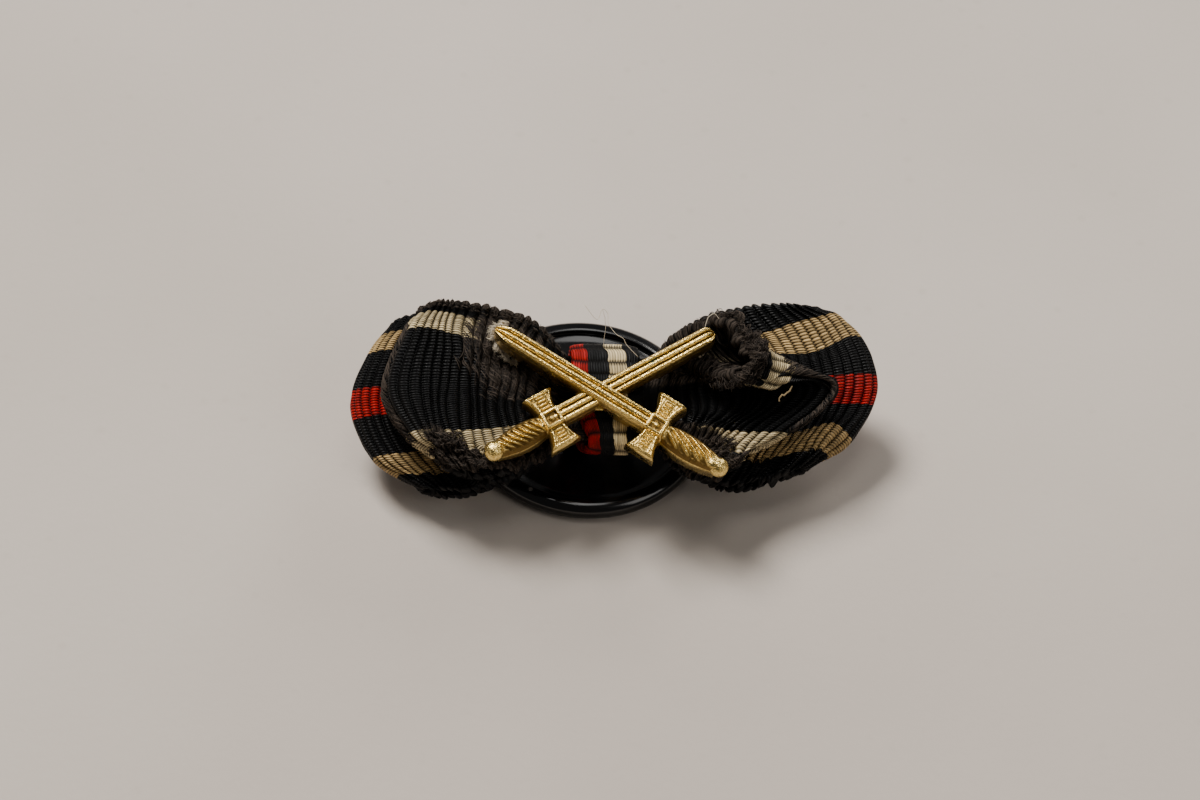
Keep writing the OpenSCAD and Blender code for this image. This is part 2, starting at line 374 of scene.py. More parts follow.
class Span(NamedTuple):
    """A range of a value, and the range that it is moved to."""

    low: float
    high: float
    to_low: float = 0.0
    to_high: float = 1.0


class Bump(NamedTuple):
    """How strongly a height roughens a surface, and how deep it is, millimetres."""

    strength: float
    depth: float


class Specks(NamedTuple):
    """How small specks are, by their scale, and what share of the places holds one."""

    scale: float
    share: float


class NodeTree:
    """Adds nodes to a tree and links them as it goes."""

    def __init__(self, tree: bpy.types.NodeTree) -> None:
        """Works on this tree."""
        self.tree = tree

    def add(self, kind: str, inputs: dict[Any, Any] | None = None, **settings: Any) -> Node:
        """Adds a node.

        Args:
            kind: the node's type.
            inputs: a value or a socket for each input that is set.
            settings: the node's own properties.

        Returns:
            The node.
        """
        node = self.tree.nodes.new(kind)
        for key, value in settings.items():
            setattr(node, key, value)
        for key, value in (inputs or {}).items():
            self.feed(node.inputs[key], value)
        return node

    def feed(self, socket: Socket, value: Any) -> None:
        """Links a socket to the input, or sets the input to a value."""
        if isinstance(value, Socket):
            self.tree.links.new(value, socket)
        else:
            socket.default_value = value

    def math(self, operation: str, *values: Any, clamp: bool = False) -> Socket:
        """The result of one operation on one to three values."""
        node = self.add("ShaderNodeMath", dict(enumerate(values)), operation=operation, use_clamp=clamp)
        return node.outputs[0]

    def chain(self, operation: str, values: Sequence[Any]) -> Any:
        """One operation on the first two values, then on its result and the next value."""
        result = values[0]
        for value in values[1:]:
            result = self.math(operation, result, value)
        return result

    def plus(self, *values: Any) -> Socket:
        """The sum of the values."""
        return self.chain("ADD", values)

    def times(self, *values: Any) -> Socket:
        """The product of the values."""
        return self.chain("MULTIPLY", values)

    def minus(self, value: Any, taken: Any) -> Socket:
        """The value less what is taken."""
        return self.math("SUBTRACT", value, taken)

    def arches(self, value: Any) -> Socket:
        """Round arches, 0 at each whole number and 1 halfway between."""
        return self.math("ABSOLUTE", self.math("SINE", self.times(value, math.pi)))

    def span(self, value: Any, span: Span) -> Socket:
        """A value moved from one range to another, clamped."""
        inputs = {"Value": value, 1: span.low, 2: span.high, 3: span.to_low, 4: span.to_high}
        return self.add("ShaderNodeMapRange", inputs, clamp=True).outputs[0]

    def split(self, place: Any) -> tuple[Socket, Socket]:
        """The x and y of a place."""
        node = self.add("ShaderNodeSeparateXYZ", {0: place})
        return node.outputs[0], node.outputs[1]

    def mix(self, share: Any, first: Any, second: Any, blend: str = "MIX") -> Socket:
        """A colour between two colours."""
        inputs = {"Factor": share, 6: first, 7: second}
        return self.add("ShaderNodeMix", data_type="RGBA", blend_type=blend, inputs=inputs).outputs[2]

    def mix_numbers(self, share: Any, first: Any, second: Any) -> Socket:
        """A number between two numbers."""
        inputs = {"Factor": share, 2: first, 3: second}
        return self.add("ShaderNodeMix", data_type="FLOAT", inputs=inputs).outputs[0]

    def shaded(self, colour: Any, light: Any) -> Socket:
        """A colour made darker by a number, 1 for none."""
        grey = self.add("ShaderNodeCombineColor", {0: light, 1: light, 2: light}).outputs[0]
        return self.mix(1.0, colour, grey, "MULTIPLY")

    def noise(self, place: Any, scale: float, detail: float = 2.0, stretch: Any = None) -> Any:
        """The height of a noise texture, its space stretched by the given factors."""
        if stretch is not None:
            place = self.add("ShaderNodeVectorMath", {0: place, 1: stretch}, operation="MULTIPLY").outputs[0]
        inputs = {"Vector": place, "Scale": scale, "Detail": detail}
        return self.add("ShaderNodeTexNoise", inputs).outputs["Fac"]

    def mark(self, name: str) -> Socket:
        """A number that the mesh holds for each point."""
        return self.add("ShaderNodeAttribute", attribute_name=name).outputs["Fac"]

    def object_place(self) -> Socket:
        """The point's own place on the object, in metres."""
        return self.add("ShaderNodeTexCoord").outputs["Object"]

    def roughen(self, shader: Node, height: Any, bump: Bump) -> None:
        """Feeds the shader's normal from a height."""
        inputs = {"Height": height, "Strength": bump.strength, "Distance": bump.depth * MM}
        self.feed(shader.inputs["Normal"], self.add("ShaderNodeBump", inputs).outputs[0])


def new_group(
    name: str, inputs: dict[str, float | None], outputs: Sequence[str]
) -> tuple[NodeTree, Any, Any]:
    """Starts a shader node group.

    Args:
        name: the group's name.
        inputs: each input with its usual value, or None for a vector.
        outputs: the names of its outputs, all of them numbers.

    Returns:
        The tree, the sockets that give its inputs and the sockets that take its outputs.
    """
    tree = bpy.data.node_groups.new(name, "ShaderNodeTree")
    for label, value in inputs.items():
        kind = "NodeSocketVector" if value is None else "NodeSocketFloat"
        socket = tree.interface.new_socket(label, in_out="INPUT", socket_type=kind)
        if value is not None:
            socket.default_value = value
    for label in outputs:
        tree.interface.new_socket(label, in_out="OUTPUT", socket_type="NodeSocketFloat")
    nodes = NodeTree(tree)
    return nodes, nodes.add("NodeGroupInput").outputs, nodes.add("NodeGroupOutput").inputs


class Effects:
    """Node groups that more than one finish uses, each built once."""

    RIB_ROUNDNESS = 2.4
    STRAND_GRAIN = (5.0, 0.9, 1.0)
    PATCH_GRAIN = (0.9, 1.1, 1.0)
    FIBRE_GRAIN = (14.0, 3.0, 1.0)
    STRAND_SLANT = 0.45
    STRAND_BEND = 1.6
    RAGGED_STRANDS, RAGGED_PATCHES, RAGGED_MIDDLE = 0.7, 0.5, 0.6
    FIBRE_CONTRAST, FIBRE_DARKER = 1.3, -0.15
    BARE = Span(0.36, 0.6)
    SPECK = Span(0.32, 0.12)

    def __init__(self) -> None:
        """Builds the groups."""
        self.weave = self.build_weave()
        self.weft = self.build_weft()
        self.specks = self.build_specks()

    def build_weave(self) -> bpy.types.NodeTree:
        """Warp threads that run over the ribs, set half a thread aside on every other rib.

        Returns:
            A group with the outputs Thread, the height of a thread, Shade, how light each stitch is, and
            Rib, the height of the rib.
        """
        inputs = {"Place": None, "Thread": 0.2, "Variety": 0.3}
        nodes, given, out = new_group("warp_over_ribs", inputs, ("Thread", "Shade", "Rib"))
        ribs, across = nodes.split(given["Place"])
        rib = nodes.math("FLOOR", ribs)
        phase = nodes.math("FRACT", ribs)
        half_aside = nodes.times(nodes.math("MODULO", rib, 2.0), 0.5)
        threads = nodes.plus(nodes.math("DIVIDE", across, given["Thread"]), half_aside)
        stitch = nodes.add("ShaderNodeCombineXYZ", {0: rib, 1: nodes.math("FLOOR", threads)})
        chance = nodes.add("ShaderNodeTexWhiteNoise", {"Vector": stitch.outputs[0]}, noise_dimensions="2D")
        darker = nodes.times(chance.outputs["Value"], given["Variety"])
        from_middle = nodes.math("ABSOLUTE", nodes.minus(nodes.times(phase, 2.0), 1.0))
        nodes.feed(out["Thread"], nodes.arches(threads))
        nodes.feed(out["Shade"], nodes.minus(1.0, darker))
        nodes.feed(out["Rib"], nodes.minus(1.0, nodes.math("POWER", from_middle, self.RIB_ROUNDNESS)))
        return nodes.tree

    def build_weft(self) -> bpy.types.NodeTree:
        """Twisted strands of the weft, which show where the silk over them has worn away.

        Returns:
            A group with the outputs Strand, the height of a strand, Shade, how light it is, and Mask, how
            bare the weft is.
        """
        inputs = {"Place": None, "Worn": 0.0, "Strands": 3.0}
        nodes, given, out = new_group("bare_weft", inputs, ("Strand", "Shade", "Mask"))
        place = given["Place"]
        ribs, across = nodes.split(place)
        stretched = nodes.noise(place, 1.0, 3.0, self.STRAND_GRAIN)
        broad = nodes.noise(place, 1.0, 2.0, self.PATCH_GRAIN)
        fine = nodes.noise(place, 1.0, 2.0, self.FIBRE_GRAIN)
        straight = nodes.times(ribs, given["Strands"])
        slant = nodes.times(across, self.STRAND_SLANT)
        bent = nodes.plus(straight, slant, nodes.times(stretched, self.STRAND_BEND))
        ragged = nodes.times(stretched, self.RAGGED_STRANDS)
        ragged = nodes.plus(ragged, nodes.times(broad, self.RAGGED_PATCHES))
        level = nodes.plus(given["Worn"], nodes.minus(ragged, self.RAGGED_MIDDLE))
        shade = nodes.math("ADD", nodes.times(fine, self.FIBRE_CONTRAST), self.FIBRE_DARKER, clamp=True)
        nodes.feed(out["Strand"], nodes.arches(bent))
        nodes.feed(out["Shade"], shade)
        nodes.feed(out["Mask"], nodes.span(level, self.BARE))
        return nodes.tree

    def build_specks(self) -> bpy.types.NodeTree:
        """Small scattered specks, such as dust or pits.

        Returns:
            A group with the output Mask, 1 in a speck.
        """
        nodes, given, out = new_group("specks", {"Place": None, "Scale": 900.0, "Share": 0.3}, ("Mask",))
        inputs = {"Vector": given["Place"], "Scale": given["Scale"]}
        spot = nodes.add("ShaderNodeTexVoronoi", inputs)
        chance = nodes.add("ShaderNodeSeparateColor", {0: spot.outputs["Color"]}).outputs[0]
        chosen = nodes.math("LESS_THAN", chance, given["Share"])
        near = nodes.span(spot.outputs["Distance"], self.SPECK)
        nodes.feed(out["Mask"], nodes.times(chosen, near))
        return nodes.tree

    @staticmethod
    def place(nodes: NodeTree, group: bpy.types.NodeTree, **inputs: Any) -> Any:
        """Places one of the groups in a material, feeds its inputs and gives its outputs."""
        return nodes.add("ShaderNodeGroup", inputs, node_tree=group).outputs

    def speckle(self, nodes: NodeTree, place: Any, specks: Specks) -> Socket:
        """A mask of specks over a material."""
        return self.place(nodes, self.specks, Place=place, Scale=specks.scale, Share=specks.share)["Mask"]


def new_material(name: str) -> tuple[Material, NodeTree, Node]:
    """Starts a material.

    Args:
        name: the material's name.

    Returns:
        The material, its tree and its Principled node.
    """
    made = bpy.data.materials.new(name)
    made.use_nodes = True
    made.node_tree.nodes.clear()
    nodes = NodeTree(made.node_tree)
    shader = nodes.add("ShaderNodeBsdfPrincipled")
    nodes.add("ShaderNodeOutputMaterial", {"Surface": shader.outputs[0]})
    return made, nodes, shader


@dataclass(frozen=True)
class Silk:
    """Ribbed silk in stripes, worn in places down to its weft.

    stripes holds the share of the width where each stripe ends, and its dye. wobble is how far a stripe's
    edge wanders, millimetres. The valley, parting and gap fields set how much painted shade darkens the silk
    between ribs, between threads and where both meet, up to darkest; the two weft spans set painted shade
    between the bare weft's strands and between its ribs. thread_bump, twist_bump, strand_bump and weft_bump
    are heights, as shares of the bump's depth.
    """

    name: str
    stripes: tuple[tuple[float, Dye], ...]
    width: float
    thread: float = 0.2
    variety: float = 0.5
    wobble: float = 0.22
    wobble_scale: float = 2.0
    roughness: float = 0.36
    specular: float = 0.14
    # Painted shade between ribs and threads, and where both meet.
    valley_shade: float = 0.80
    parting_shade: float = 0.68
    gap: float = 0.8
    darkest: float = 0.93
    in_valley: Span = Span(0.05, 0.8, 1.0, 0.0)
    in_parting: Span = Span(0.1, 0.7, 1.0, 0.0)
    soil_scale: float = 0.45
    soil: Span = Span(0.35, 0.7, 0.72, 1.05)
    # Painted shade on the bare weft between its strands and between ribs.
    weft_strand_shade: Span = Span(0.0, 0.8, 0.12, 1.0)
    weft_rib_shade: Span = Span(0.0, 0.8, 0.08, 1.0)
    dull_stitch: float = 0.35
    dull_weft: float = 0.4
    twist_grain: Triple = (4.0, 7.0, 1.0)
    thread_bump: float = 1.2
    twist_bump: float = 0.5
    strand_bump: float = 2.0
    weft_bump: float = 1.6
    bump: Bump = Bump(1.0, 0.06)

    def build(self, effects: Effects) -> Material:
        """Makes the material.

        Args:
            effects: the node groups.

        Returns:
            The material. It reads the weave map: the number of the rib, and millimetres across the ribbon.
        """
        made, nodes, shader = new_material(self.name)
        place = nodes.add("ShaderNodeUVMap", uv_map=WEAVE_MAP).outputs[0]
        weave = effects.place(nodes, effects.weave, Place=place, Thread=self.thread, Variety=self.variety)
        weft = effects.place(nodes, effects.weft, Place=place, Worn=nodes.mark("worn"))
        silk = self.silk_colour(nodes, place, weave)
        bare = self.weft_colour(nodes, weave, weft)
        nodes.feed(shader.inputs["Base Color"], nodes.mix(weft["Mask"], silk, bare))
        dull = nodes.times(nodes.minus(1.0, weave["Shade"]), self.dull_stitch)
        dull = nodes.plus(dull, nodes.times(weft["Mask"], self.dull_weft))
        nodes.feed(shader.inputs["Roughness"], nodes.plus(self.roughness, dull))
        shader.inputs["Specular IOR Level"].default_value = self.specular
        nodes.roughen(shader, self.height(nodes, place, weave, weft), self.bump)
        return made

    def silk_colour(self, nodes: NodeTree, place: Any, weave: Any) -> Socket:
        """The dyed silk, with painted shade between its ribs and threads, and soiled here and there."""
        _, across = nodes.split(place)
        wander = nodes.minus(nodes.noise(place, self.wobble_scale), 0.5)
        moved = nodes.plus(across, nodes.times(wander, self.wobble))
        dyed = self.stripe_colours(nodes, nodes.math("DIVIDE", moved, self.width))
        soiled = nodes.span(nodes.noise(place, self.soil_scale, 4.0), self.soil)
        # Random stitch tone times painted shade between ribs and threads times soil.
        light = nodes.times(weave["Shade"], self.painted_shade_between(nodes, weave), soiled)
        return nodes.shaded(dyed, light)

    def weft_colour(self, nodes: NodeTree, weave: Any, weft: Any) -> Any:
        """The bare weft, with painted shade between its strands and between the ribs."""
        bare = nodes.mix(weft["Shade"], Dye.WORN.rgba, Dye.WORN_PALE.rgba)
        # Painted shade between the weft's strands and in the valleys between ribs.
        strand_shade = nodes.span(weft["Strand"], self.weft_strand_shade)
        rib_shade = nodes.span(weave["Rib"], self.weft_rib_shade)
        return nodes.shaded(bare, nodes.times(strand_shade, rib_shade))

    def height(self, nodes: NodeTree, place: Any, weave: Any, weft: Any) -> Any:
        """The height of the threads, or of the weft where it is bare."""
        threads = nodes.times(weave["Thread"], self.thread_bump)
        twisted = nodes.times(nodes.noise(place, 1.0, 3.0, self.twist_grain), self.twist_bump)
        strands = nodes.times(weft["Strand"], self.strand_bump)
        fibres = nodes.times(weft["Shade"], self.weft_bump)
        silk, bare = nodes.plus(threads, twisted), nodes.plus(strands, fibres)
        return nodes.mix_numbers(weft["Mask"], silk, bare)

    def painted_shade_between(self, nodes: NodeTree, weave: Any) -> Socket:
        """How light the silk is left by painted shade: dark between ribs and between threads, and darkest
        where two threads part between ribs.
        """
        # Painted shade in the valleys between ribs and in the partings between threads.
        low = nodes.span(weave["Rib"], self.in_valley)
        parted = nodes.span(weave["Thread"], self.in_parting)
        shade_dots = nodes.times(low, parted, self.gap)
        dark = nodes.plus(nodes.times(low, self.valley_shade), nodes.times(parted, self.parting_shade), shade_dots)
        return nodes.minus(1.0, nodes.math("MINIMUM", dark, self.darkest))

    def stripe_colours(self, nodes: NodeTree, share: Any) -> Socket:
        """The stripe's colour at a share of the width."""
        ramp = nodes.add("ShaderNodeValToRGB", {0: share})
        ramp.color_ramp.interpolation = "CONSTANT"
        elements = ramp.color_ramp.elements
        elements.remove(elements[1])
        start = 0.0
        for i, (end, dye) in enumerate(self.stripes):
            element = elements[0] if i == 0 else elements.new(start)
            element.position = start
            element.color = dye.rgba
            start = end
        return ramp.outputs["Color"]


@dataclass(frozen=True)
class Brass:
    """Stamped brass with worn gilding: bright high places, brown recesses and scattered brown grains.

    The names that begin with rough and high say how much each adds to the roughness and the height, and
    deep_pits how much the pits take from it.
    """

    name: str = "gilt_brass"
    roughness: float = 0.19
    fine_scale: float = 7500.0
    broad_scale: float = 1300.0
    dirt_patches: float = 0.5
    dirt_grain: float = 0.25
    grime: Span = Span(0.46, 0.95, 0.0, 0.90)
    deep_gilt: Span = Span(0.35, 0.65)
    grains: Span = Span(0.52, 0.72, 0.0, 0.45)
    green_grain: Span = Span(0.4, 0.6)
    pits: Specks = Specks(4200.0, 0.3)
    rough_grime: float = 0.25
    rough_patches: float = 0.12
    high_grain: float = 1.3
    high_patches: float = 0.4
    deep_pits: float = 0.5
    bump: Bump = Bump(0.9, 0.05)

    def build(self, effects: Effects) -> Material:
        """Makes the material. It reads the marks relief, 0 in a recess and 1 on top, and green."""
        made, nodes, shader = new_material(self.name)
        place = nodes.object_place()
        fine = nodes.noise(place, self.fine_scale, 4.0)
        broad = nodes.noise(place, self.broad_scale, 3.0)
        low = nodes.minus(1.0, nodes.mark("relief"))
        dirt = nodes.plus(low, nodes.times(nodes.minus(broad, 0.5), self.dirt_patches))
        grime = nodes.span(nodes.plus(dirt, nodes.times(fine, self.dirt_grain)), self.grime)
        brown = nodes.math("MAXIMUM", grime, nodes.span(fine, self.grains))
        metal = nodes.mix(nodes.span(fine, self.deep_gilt), Dye.GILT.rgba, Dye.GILT_DEEP.rgba)
        metal = nodes.mix(brown, metal, Dye.PATINA.rgba)
        green = nodes.times(nodes.mark("green"), nodes.span(fine, self.green_grain))
        nodes.feed(shader.inputs["Base Color"], nodes.mix(green, metal, Dye.VERDIGRIS.rgba))
        rough = nodes.plus(self.roughness, nodes.times(grime, self.rough_grime))
        nodes.feed(shader.inputs["Roughness"], nodes.plus(rough, nodes.times(broad, self.rough_patches)))
        shader.inputs["Metallic"].default_value = 1.0
        pits = nodes.times(effects.speckle(nodes, place, self.pits), self.deep_pits)
        height = nodes.minus(nodes.times(fine, self.high_grain), pits)
        nodes.roughen(shader, nodes.plus(height, nodes.times(broad, self.high_patches)), self.bump)
        return made


@dataclass(frozen=True)
class Lacquer:
    """Black lacquer on metal, glossy, with fine dust and dull patches."""

    name: str = "black_lacquer"
    haze_scale: float = 260.0
    haze: Span = Span(0.35, 0.75, 0.10, 0.26)
    dust: Specks = Specks(1500.0, 0.03)
    dust_rough: float = 0.4
    dust_high: float = 0.2
    wave_scale: float = 150.0
    bump: Bump = Bump(0.25, 0.05)

    def build(self, effects: Effects) -> Material:
        """Makes the material."""
        made, nodes, shader = new_material(self.name)
        place = nodes.object_place()
        dust = effects.speckle(nodes, place, self.dust)
        haze = nodes.span(nodes.noise(place, self.haze_scale, 4.0), self.haze)
        nodes.feed(shader.inputs["Base Color"], nodes.mix(dust, Dye.LACQUER.rgba, Dye.DUST.rgba))
        nodes.feed(shader.inputs["Roughness"], nodes.plus(haze, nodes.times(dust, self.dust_rough)))
        height = nodes.plus(nodes.noise(place, self.wave_scale), nodes.times(dust, self.dust_high))
        nodes.roughen(shader, height, self.bump)
        return made


@dataclass(frozen=True)
class Fibre:
    """Loose fibre between two colours, by the strand's own shade."""

    name: str
    dark: Dye
    light: Dye
    roughness: float = 0.85
    specular: float = 0.2
    specks: Specks = Specks(4000.0, 0.5)
    speck_dark: float = 0.2

    def build(self, effects: Effects) -> Material:
        """Makes the material. It reads the mark shade."""
        made, nodes, shader = new_material(self.name)
        spots = nodes.times(effects.speckle(nodes, nodes.object_place(), self.specks), self.speck_dark)
        colour = nodes.mix(nodes.mark("shade"), self.dark.rgba, self.light.rgba)
        nodes.feed(shader.inputs["Base Color"], nodes.mix(spots, colour, self.dark.rgba))
        shader.inputs["Roughness"].default_value = self.roughness
        shader.inputs["Specular IOR Level"].default_value = self.specular
        return made


@dataclass(frozen=True)
class Ground:
    """A plain pale floor."""

    name: str = "floor"
    roughness: float = 0.85
    cloud_scale: float = 14.0
    clouds: Span = Span(0.35, 0.7)
    grains: Specks = Specks(700.0, 0.10)
    grain_dark: float = 0.4
    grain_scale: float = 1400.0
    bump: Bump = Bump(0.35, 0.08)

    def build(self, effects: Effects) -> Material:
        """Makes the material."""
        made, nodes, shader = new_material(self.name)
        place = nodes.object_place()
        clouds = nodes.span(nodes.noise(place, self.cloud_scale, 5.0), self.clouds)
        grains = nodes.times(effects.speckle(nodes, place, self.grains), self.grain_dark)
        colour = nodes.mix(clouds, Dye.FLOOR.rgba, Dye.FLOOR_SHADE.rgba)
        nodes.feed(shader.inputs["Base Color"], nodes.mix(grains, colour, Dye.FLOOR_SHADE.rgba))
        shader.inputs["Roughness"].default_value = self.roughness
        nodes.roughen(shader, nodes.noise(place, self.grain_scale, 3.0), self.bump)
        return made


# The bow


@dataclass(frozen=True)
class BowFrame:
    """Where the bow's own frame stands, and the sizes that its pieces share, millimetres."""

    place: Triple = (1.3, -2.65, 4.3)
    lean: float = 19.0
    gap: float = 0.1
    bound_wall: float = 0.8
    knot_wall: float = 0.8
    knot_crown: float = 0.12
    waist_w: float = 6.35
    waist_y: float = 0.76
    waist_rise: float = -0.45
    waist_taper: float = 0.36
    striped_back: float = -0.35

    @property
    def striped_front(self) -> float:
        """Front of the striped ribbon's bound layers."""
        return self.striped_back + 2 * self.bound_wall + self.gap

    @property
    def black_back(self) -> float:
        """Back of the black ribbon's bound layers."""
        return self.striped_front + self.gap

    @property
    def black_front(self) -> float:
        """Front of the black ribbon's bound layers."""
        return self.black_back + 2 * self.bound_wall + self.gap

    @property
    def knot_span(self) -> Pair:
        """Lowest and highest n inside the knot."""
        return self.striped_back - self.gap, self.black_front + self.gap

    @property
    def swords_at(self) -> float:
        """Height of the swords' flat backs."""
        return self.knot_span[1] + self.knot_wall + self.knot_crown + self.gap

    def stack_half(self, n: Array) -> Array:
        """Half width of the bound stack at height n."""
        share = (self.black_front - n) / (self.black_front - self.striped_back)
        return self.waist_w / 2 * (1 - self.waist_taper * share)

    def stack_mid(self, n: Array) -> Array:
        """Middle of the bound stack at height n."""
        share = (n - self.striped_back) / (self.black_front - self.striped_back)
        return self.waist_y + self.waist_rise * share

    def to_row(self, points: Array) -> Array:
        """Points of the bow's frame, millimetres, in the row frame, metres."""
        a = math.radians(self.lean)
        turn = np.array([[1, 0, 0], [0, math.cos(a), -math.sin(a)], [0, math.sin(a), math.cos(a)]])
        return (points @ turn.T + np.array(self.place)) * MM


@dataclass(frozen=True)
class Patch:
    """A soft round spot on a loop: where a dent, a slide, a lumpy edge or a worn place lies."""

    w: float
    v: float
    half_w: float
    half_v: float
    amount: float

    def at(self, w: Array, v: Array) -> Array:
        """Its amount at places along and across the loop."""
        far = ((w - self.w) / self.half_w) ** 2 + ((v - self.v) / self.half_v) ** 2
        return self.amount * np.exp(-far)


def add_up(patches: Sequence[Patch], w: Array, v: Array) -> Array:
    """The sum of patches at places along and across a loop."""
    return sum((patch.at(w, v) for patch in patches), np.zeros(np.broadcast(w, v).shape))


@dataclass(frozen=True)
class Loop:
    """One loop of a ribbon.

    Places along it, w, run from -1, the back layer at the knot, over the fold at 0 to 1, the front layer at
    the knot. Places across it, v, run from 0 at the far edge to 1 at the near edge.
    fold holds v, x, y; rise holds w and the heights at five places across; stray holds w, far x, far y
    and near y; bent holds v and how far from the fold its ribs begin and end to turn straight.
    Dents move a place out of the loop, and slides along y. blunt says how soon the outline leaves the fold,
    and edge_lead how much sooner the loop spreads at its edges. A stray reaches into the ribbon over the far
    or near zone and fades there.
    """

    waist_x: float
    fold: tuple[tuple[float, ...], ...]
    rise: tuple[tuple[float, ...], ...]
    stray: tuple[tuple[float, ...], ...]
    dents: tuple[Patch, ...] = ()
    worn: tuple[Patch, ...] = ()
    lumpy: tuple[Patch, ...] = ()
    slides: tuple[Patch, ...] = ()
    blunt: float = 2.3
    edge_lead: float = 1.4
    pleats: float = 3.0
    pleat_h: float = 0.12
    pleat_end: float = 0.7
    far_zone: float = 0.45
    far_fade: float = 1.2
    near_zone: float = 0.4
    near_fade: float = 1.5
    bent: tuple[tuple[float, ...], ...] = ((0, 0.5, 10.0), (1, 0.5, 10.0))

    def points(self, bow: BowFrame, w: Array, v: Array) -> Array:
        """The outer face.

        Args:
            bow: the bow's frame.
            w: places along the loop.
            v: places across it.

        Returns:
            A point for each w and v, in the bow's frame.
        """
        fold, rise, stray = (np.array(t, float) for t in (self.fold, self.rise, self.stray))
        t = (1 - np.abs(w) ** self.blunt)[:, None]
        bound = np.where(w < 0, rise[0, 1], rise[-1, 1] - bow.bound_wall)[:, None]
        knot_y = bow.stack_mid(bound) + (1 - 2 * v) * bow.stack_half(bound)
        spread = 1 - np.maximum(1 - t, 0) ** (1 + self.edge_lead * np.abs(2 * v - 1))
        heights = curve(rise[:, 0], rise[:, 1:], w)
        across = curve(np.linspace(0, 1, heights.shape[1]), heights.T, v).T
        pleat = self.pleat_h * np.sin(np.pi * np.minimum(1, t / self.pleat_end))
        pleat = pleat * np.cos(2 * np.pi * self.pleats * v)
        far = np.maximum(0, 1 - v / self.far_zone) ** self.far_fade
        near = np.maximum(0, 1 - (1 - v) / self.near_zone) ** self.near_fade
        off = curve(stray[:, 0], stray[:, 1:], w)
        ends = curve(fold[:, 0], fold[:, 1:], v)
        x = self.waist_x + (ends[:, 0] - self.waist_x) * t + off[:, :1] * far
        y = knot_y + (ends[:, 1] - knot_y) * spread + off[:, 1:2] * far + off[:, 2:3] * near
        y = y + add_up(self.slides, w[:, None], v)
        return np.stack([x, y, across + pleat + add_up(self.dents, w[:, None], v)], axis=-1)


def level(w: float, n: float) -> tuple[float, ...]:
    """A row of a rise table with the same height all across."""
    return (w, n, n, n, n, n)


